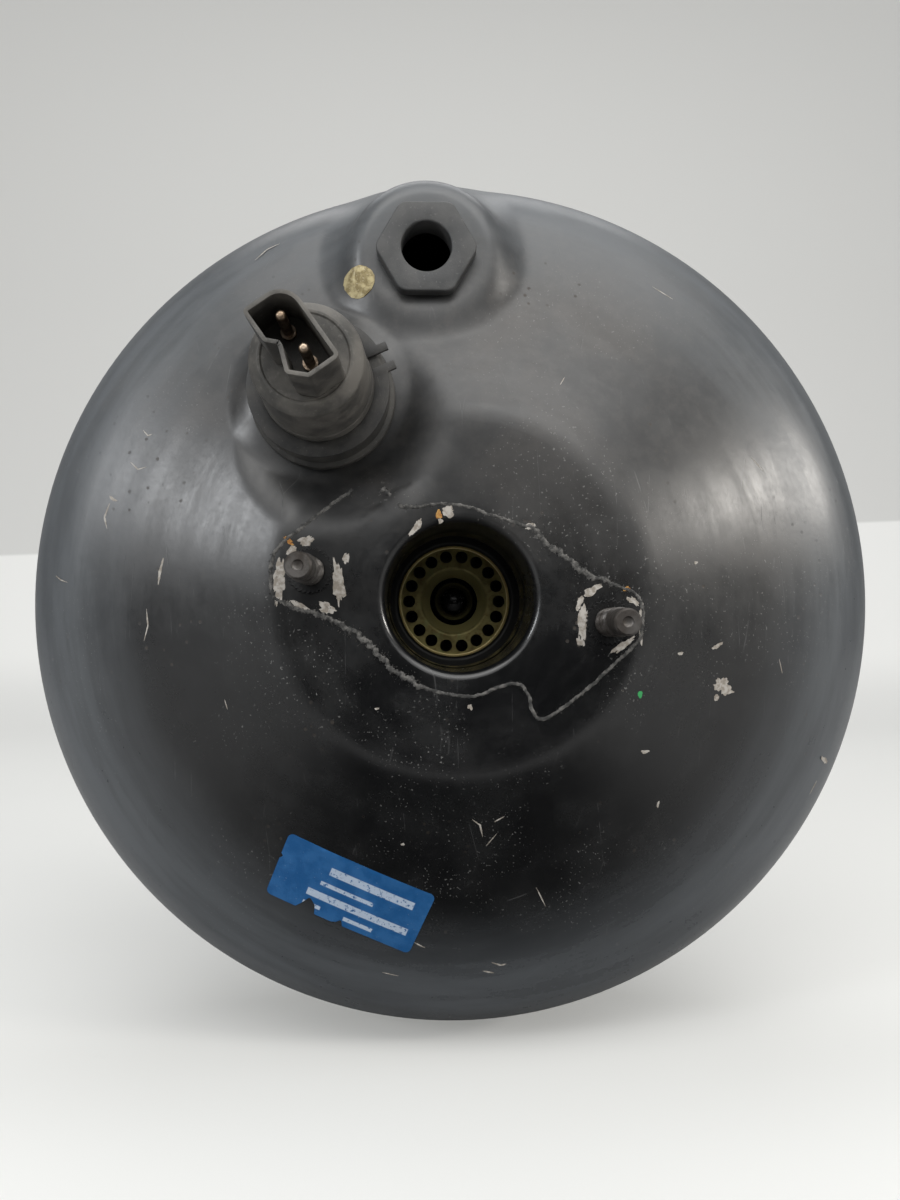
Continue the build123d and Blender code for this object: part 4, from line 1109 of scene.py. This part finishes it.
    def wear(self, rng):
        draped("paint_chips", [ragged(*chip, rng) for chip in CHIPS], 0.8, 0.035, 0.03, "bare_primer")
        lines = [streak(points, width, rng) for width, *points in SCRATCHES]
        draped("paint_scratches", lines, 0.8, 0.03, 0.025, "bare_primer")
        spots = [ragged(-5.9, 22.8, 0.9, 1.2, 15, rng), ragged(46.6, 2.2, 0.9, 0.7, 0, rng),
                 ragged(-47.4, 15.4, 1.8, 0.6, 40, rng)]
        draped("rust_spots", spots, 0.6, 0.06, 0.05, "rust")
        draped("green_dot", [ragged(50.7, -27.4, 0.8, 0.9, 0, rng, 0.15)], 0.5, 0.05, 0.04, "green_paint")

    def execute(self, context):
        rng = random.Random(7)
        self.label()
        self.dab(rng)
        verts, faces = self.residue(rng, context.scene.booster_housing.ridge_width / MM)
        self.wear(random.Random(29))
        settle(built("residue_ridge", verts, faces, 60, 0.000001), "dried_sealant")
        return {"FINISHED"}


class BOOSTER_OT_vacuum_fitting(bpy.types.Operator):
    """Hexagon with rounded corners, its plain bore and its spigot through the boss"""
    bl_idname = "booster.vacuum_fitting"
    bl_label = "Vacuum fitting"

    def execute(self, context):
        across, corner, height, bore, spigot_radius = 26.0, 3.5, 5.0, 7.25, 9.0
        base_y, top_y, end_y = BOSS_Y - 0.02, BOSS_Y - height, BOSS_Y + 4.0
        tip = across / 2 / math.cos(math.pi / 6)
        sixths = [math.radians(60 * k) for k in range(6)]
        corners = [(tip * math.cos(a), tip * math.sin(a)) for a in sixths]
        outer = []
        bent = rounded(corners, corner, 7)
        for k, here in enumerate(bent):
            ahead = bent[(k + 1) % len(bent)]
            steps = max(1, round(math.dist(here, ahead) / 1.2))
            outer += [(here[0] + (ahead[0] - here[0]) * t / steps, here[1] + (ahead[1] - here[1]) * t / steps)
                      for t in range(steps)]
        inner = []
        for u, v in outer:
            turn = math.atan2(v, u)
            inner.append((bore * math.cos(turn), bore * math.sin(turn)))
        spigot = [(u * spigot_radius / bore, v * spigot_radius / bore) for u, v in inner]
        rings = [(outer, base_y), (outer, top_y), (inner, top_y), (inner, end_y), (spigot, end_y),
                 (spigot, base_y)]
        verts = [(BOSS[0] + u, y, BOSS[1] + v) for ring, y in rings for u, v in ring]
        faces = lofted(len(rings), len(outer), "joined")
        fitting = built("vacuum_fitting_skin", verts, faces, 40, bevel=(0.55, 3, 50))
        settle(fitting, "fitting_paint", "vacuum_fitting")
        return {"FINISHED"}


class BOOSTER_OT_studs(bpy.types.Operator):
    """Master-cylinder studs with plain dogs and knurls, and the firewall studs, with rolled threads"""
    bl_idname = "booster.studs"
    bl_label = "Studs"

    def stud(self, x, z, head_y, shank_y, thread_y, tip, away, steps=40):
        """Rows from the head to the tip; away is -1 for a stud that points to the front."""
        pitch, major, depth = 1.25, 4.0, 0.62
        head, knurl = 7.0, 5.3
        rows = [(0.001, head_y - 3.0 * away), (head - 0.4, head_y - 3.0 * away), (head, head_y - 2.6 * away),
                (head, head_y), (knurl, head_y), (knurl, shank_y - 0.3 * away), (knurl - 0.3, shank_y),
                (major, shank_y)]
        thread_length = abs(thread_y - shank_y)
        count = int(thread_length / pitch * 8)
        verts = [point(x, z, r, y, TURN * i / steps) for r, y in rows for i in range(steps)]
        for k in range(1, count + 1):
            y = shank_y + away * thread_length * k / count
            fade = min(1.0, k / 10, (count - k) / 8)
            for i in range(steps):
                phase = (abs(y - shank_y) / pitch + i / steps) % 1.0
                groove = depth * fade * min(1.0, max(0.0, 1.25 - abs(phase - 0.5) * 3.4))
                verts.append(point(x, z, major - groove, y, TURN * i / steps))
        verts += [point(x, z, r, y, TURN * i / steps) for r, y in tip for i in range(steps)]
        return verts, lofted(len(rows) + count + len(tip), steps, "open")

    def knurl(self, name, x, z, teeth=30, steps=4):
        """The painted, toothed ring that shows round the foot of a stud."""
        verts, count, inside = [], teeth * steps, 4.15
        for i in range(count):
            outside = 6.3 + (0.3 if i % steps < steps / 2 else -0.15)
            section = ((inside, 0.4), (inside, -0.35), (outside - 0.3, -0.5), (outside, 0.1))
            verts += [point(x, z, r, FACE_Y + y, TURN * i / count) for r, y in section]
        settle(built(name, verts, lofted(count, len(section), "joined"), 30), "black_paint")

    def joined_piece(self, name, parts, replaced):
        verts, faces = [], []
        for more, shapes in parts:
            faces += [tuple(i + len(verts) for i in shape) for shape in shapes]
            verts += more
        settle(built(name, verts, faces, 32, 0.000004), "stud_steel", replaced)

    def execute(self, context):
        length, dog_length = 24.0, 9.5
        tip_y = FACE_Y - length
        dog_y = tip_y + dog_length
        front_tip = [(4.0, dog_y), (3.6, dog_y - 0.6), (3.6, tip_y + 0.6), (3.5, tip_y + 0.45), (3.05, tip_y),
                     (1.5, tip_y), (1.3, tip_y + 0.3), (0.9, tip_y + 0.5), (0.001, tip_y + 0.6)]
        fronts = [self.stud(x, z, FACE_Y + 5.0, FACE_Y + 0.3, dog_y + 0.2, front_tip, -1) for x, z in STUDS]
        self.joined_piece("front_studs_threaded", fronts, "master_cylinder_studs")
        for index, (x, z) in enumerate(STUDS):
            self.knurl(f"stud_knurl_{index + 1}", x, z)
        rear_tip = [(3.7, length - 0.6), (3.3, length - 0.1), (3.1, length), (0.001, length)]
        places = [(x, z) for x in (-REAR_STUD, REAR_STUD) for z in (-REAR_STUD, REAR_STUD)]
        rears = [self.stud(x, z, -5.0, -0.3, length - 0.8, rear_tip, 1) for x, z in places]
        self.joined_piece("firewall_studs_threaded", rears, "firewall_studs")
        return {"FINISHED"}


class BOOSTER_OT_sensor(bpy.types.Operator):
    """Travel sensor: turned body, keyed socket, grommet and spring clip"""
    bl_idname = "booster.sensor"
    bl_label = "Travel sensor"

    def body(self, y):
        profile = [(0.001, y - 32), (4.06, y - 32), (4.06, y + 30), (8, y + 30), (8, y + 6), (15, y + 6),
                   (15, y - 13.8), (14.85, y - 13.8), (14.85, y - 15.05), (15.2, y - 15.05),
                   (15.05, y - 18.5), (14.75, y - 19.0), (14.2, y - 39), (11.6, y - 41.5),
                   (11.0, y - 41.5), (10.6, y - 41.2), (0.001, y - 41.2)]
        radii = [0, 0, 0, 0.6, 0.6, 0.6, 0, 0, 0, 0.5, 0.3, 0.3, 1.4, 0.5, 0.2, 0.2, 0]
        body = spun("sensor_body_turned", rounded(profile, radii, 4), 35, *SEAT)
        settle(body, "sensor_plastic", "sensor_body")

    def tower(self, y):
        """The keyed socket, with an even wall round its opening."""
        socket_turn, wall = math.radians(-54.6), 0.95
        left, right, low, high, notch = -10.0, 8.9, -5.7, 4.6, 2.1
        corners = [(left, low), (-2.8, low), (-2.8 + notch, low + notch), (0.35, low + notch), (5.9, low),
                   (right, low + 3.1), (right, high), (left, high)]
        inner = rounded(corners, [0.3, 0.3, 0.3, 0.3, 0.3, 0.5, 0.5, 4.7], 8)
        count = len(inner)
        outer = []
        for i in range(count):
            before, here, after = (Vector(inner[k % count]) for k in (i - 1, i, i + 1))
            a, b = (here - before).normalized(), (after - here).normalized()
            side = Vector((a.y, -a.x)) + Vector((b.y, -b.x))
            outer.append(tuple(here + side.normalized() * wall / max(0.6, side.length / 2)))
        floor, mouth, foot = y - 43.5, y - 59.0, y - 38.0
        lip = mouth + 0.35
        rings = [(outer, foot), (outer, lip), (outer, mouth), (inner, mouth), (inner, lip), (inner, floor)]
        verts = []
        for ring, height in rings:
            verts += [(px, height, pz) for px, pz in turned(ring, socket_turn, SEAT)]
        tower = built("sensor_socket_tower", verts, lofted(len(rings), count), 40, bevel=(0.2, 2, 60))
        settle(tower, "sensor_plastic")

    def grommet(self, y):
        flange = [(15.05, y + 4.5), (17.65, y + 4.5), (18.9, y + 2), (16.4, y + 2), (16.4, y), (20.5, y),
                  (20.5, y - 4), (19.0, y - 5), (19.0, y - 12.8), (18.0, y - 13.8), (15.05, y - 13.8)]
        outline = rounded(flange, [0.3, 0.4, 0.3, 0, 0, 0.6, 0.9, 0.8, 0.7, 0.6, 0.3], 4)
        settle(spun("grommet_ring", outline, 35, *SEAT), "grommet_rubber", "sensor_grommet")

    def clip(self, back, front):
        """The open spring clip with its two lugs."""
        gap_turn, ring_in, ring_out, reach, half_gap, lug = math.radians(24), 14.9, 19.4, 21.6, 1.6, 2.4
        steps = 73
        start = math.asin(half_gap / ring_in)
        turn_in = np.linspace(start, TURN - start, steps)
        turn_out = math.asin((half_gap + lug) / ring_out)
        turn_back = np.linspace(TURN - turn_out, turn_out, steps)
        shape = [(ring_in * math.cos(a), ring_in * math.sin(a)) for a in turn_in]
        shape += [(reach, -half_gap), (reach, -half_gap - lug)]
        shape += [(ring_out * math.cos(a), ring_out * math.sin(a)) for a in turn_back]
        shape += [(reach, half_gap + lug), (reach, half_gap)]
        verts = [(a, y, b) for y in (front, back) for a, b in turned(shape, gap_turn, SEAT)]
        clip = built("spring_clip", verts, lofted(2, len(shape)), 40, bevel=(0.25, 2, 60))
        settle(modified(clip, "TRIANGULATE"), "clip_plastic", "sensor_clip")

    def execute(self, context):
        clip_back, clip_thickness = SEAT_Y - 13.8, 1.2
        self.body(SEAT_Y)
        self.tower(SEAT_Y)
        self.grommet(SEAT_Y)
        self.clip(clip_back, clip_back - clip_thickness)
        return {"FINISHED"}


class BOOSTER_OT_springs(bpy.types.Operator):
    """Return spring and the small springs, each wound as one wire"""
    bl_idname = "booster.springs"
    bl_label = "Springs"

    def coil(self, name, radius, wire, turns, start, end, sides, steps, x=0.0, z=0.0):
        total = int(turns * steps)
        rise = end - start - 2 * wire
        verts = []
        for k in range(total + 1):
            y = start + wire + rise * (k / total)
            for side in range(sides):
                a = TURN * side / sides
                r = radius + wire * math.cos(a)
                verts.append(point(x, z, r, y + wire * math.sin(a), TURN * k / steps))
        return built(name, verts, lofted(total + 1, sides), 50, 0.000001)

    def execute(self, context):
        main = self.coil("return_spring_wire", 29.0, 2.0, 5.0, -115.65, -18.15, 10, 36)
        settle(main, "spring_steel", "return_spring", None)
        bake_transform(main)
        small = self.coil("input_spring_wire", 11.0, 0.8, 4.0, 25.45, 39.85, 8, 28)
        settle(small, "spring_steel", "input_return_spring", None)
        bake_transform(small)
        poppet = self.coil("poppet_spring_wire", 10.4, 0.5, 5.0, 10.45, 21.15, 8, 28)
        settle(poppet, "spring_steel", "poppet_spring", "power_piston")
        feeler = self.coil("feeler_spring_wire", 1.75, 0.35, 22.0, -145.5, -54.5, 6, 12, *SEAT)
        settle(feeler, "spring_steel", "feeler_spring", None)
        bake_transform(feeler)
        return {"FINISHED"}


class BOOSTER_OT_rubber(bpy.types.Operator):
    """Dust boot, with its folds, and diaphragm"""
    bl_idname = "booster.rubber"
    bl_label = "Boot and diaphragm"

    def execute(self, context):
        folds, steps, depth, first_y, last_y = 6, 16, 5.4, 19.4, 69.0
        pitch = (last_y - first_y) / folds
        outside = [(26.45, 9.0), (26.45, 18.0)]
        inside = [(25.05, 9.0), (25.05, 18.0)]
        for fold in range(folds):
            y = first_y + pitch * fold
            for k in range(steps):
                t = k / steps
                wave = depth * (0.5 - 0.5 * math.cos(TURN * t)) ** 0.8
                outside.append((26.6 + wave, y + pitch * t))
                inside.append((25.2 + wave, y + pitch * t))
        outside += [(26.0, 68.9), (23.4, 69.6), (22.5, 70.4), (22.5, 74.0)]
        inside += [(24.6, 68.0), (22.6, 68.3), (21.06, 69.2), (21.06, 74.0)]
        boot = settle(spun("dust_boot_skin", outside + inside[::-1], 60), "rubber", "dust_boot", None)
        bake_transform(boot)

        line = [(20.3, -7.3), (20.3, -11.0), (77.0, -11.0), (79.6, -11.6), (118.0, -30.3), (119.6, -31.6),
                (120.2, -33.4), (120.2, -57.4), (120.9, -59.6), (123.2, -60.6), (125.6, -59.6),
                (126.4, -57.4), (126.4, -54.2), (132.1, -54.1), (132.1, -50.4), (124.7, -50.4),
                (124.7, -57.2), (124.0, -58.4), (123.2, -58.8), (122.4, -58.2), (121.9, -57.0),
                (121.9, -33.0), (121.0, -30.9), (119.4, -29.3), (80.6, -9.9), (77.4, -9.2), (24.0, -9.2),
                (24.0, -7.3)]
        diaphragm = settle(spun("diaphragm_skin", line, 45, steps=128), "rubber", "diaphragm", None)
        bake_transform(diaphragm)
        return {"FINISHED"}


class BOOSTER_OT_node_finishes(bpy.types.Operator):
    """Finishes of the CAD nodes that stay"""
    bl_idname = "booster.node_finishes"
    bl_label = "Node finishes"

    def execute(self, context):
        slots = {row["node"]: row["material_slot"] for row in frame["record"]["subparts"]}
        missing = sorted(set(frame["nodes"]) - set(slots))
        if missing:
            raise RuntimeError(f"nodes without a material slot: {missing}")
        slots.update(guide_plate="guide_zinc_painted_highlights", output_push_rod="oiled_steel")
        for name, obj in frame["nodes"].items():
            for place in obj.material_slots:
                place.material = FINISHES[slots[name]]
            if not obj.material_slots:
                obj.data.materials.append(FINISHES[slots[name]])
        return {"FINISHED"}


class BOOSTER_PT_panel(bpy.types.Panel):
    """Lists the pieces of the brake booster"""
    bl_idname = "BOOSTER_PT_panel"
    bl_label = "Brake booster"
    bl_space_type = "VIEW_3D"
    bl_region_type = "UI"
    bl_category = "Booster"

    def draw(self, context):
        for settings in (context.scene.booster_stage, context.scene.booster_housing):
            for name in settings.__annotations__:
                self.layout.prop(settings, name)
        for operator in OPERATORS:
            self.layout.operator(operator.bl_idname)


OPERATORS = [
    BOOSTER_OT_stage,
    BOOSTER_OT_node_finishes,
    BOOSTER_OT_front_shell,
    BOOSTER_OT_front_plate,
    BOOSTER_OT_crimp_tabs,
    BOOSTER_OT_marks,
    BOOSTER_OT_vacuum_fitting,
    BOOSTER_OT_studs,
    BOOSTER_OT_sensor,
    BOOSTER_OT_springs,
    BOOSTER_OT_rubber,
]
CLASSES = [BoosterStageSettings, BoosterHousingSettings, *OPERATORS, BOOSTER_PT_panel]
FINISHES = {}


def register():
    for item in CLASSES:
        bpy.utils.register_class(item)
    bpy.types.Scene.booster_stage = PointerProperty(type=BoosterStageSettings)
    bpy.types.Scene.booster_housing = PointerProperty(type=BoosterHousingSettings)


def unregister():
    del bpy.types.Scene.booster_housing
    del bpy.types.Scene.booster_stage
    for item in reversed(CLASSES):
        bpy.utils.unregister_class(item)


def main():
    register()
    FINISHES.update(make_finishes())
    for operator in OPERATORS:
        getattr(bpy.ops.booster, operator.bl_idname.split(".")[1])()
    deselect()
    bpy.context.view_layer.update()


if __name__ == "__main__":
    main()
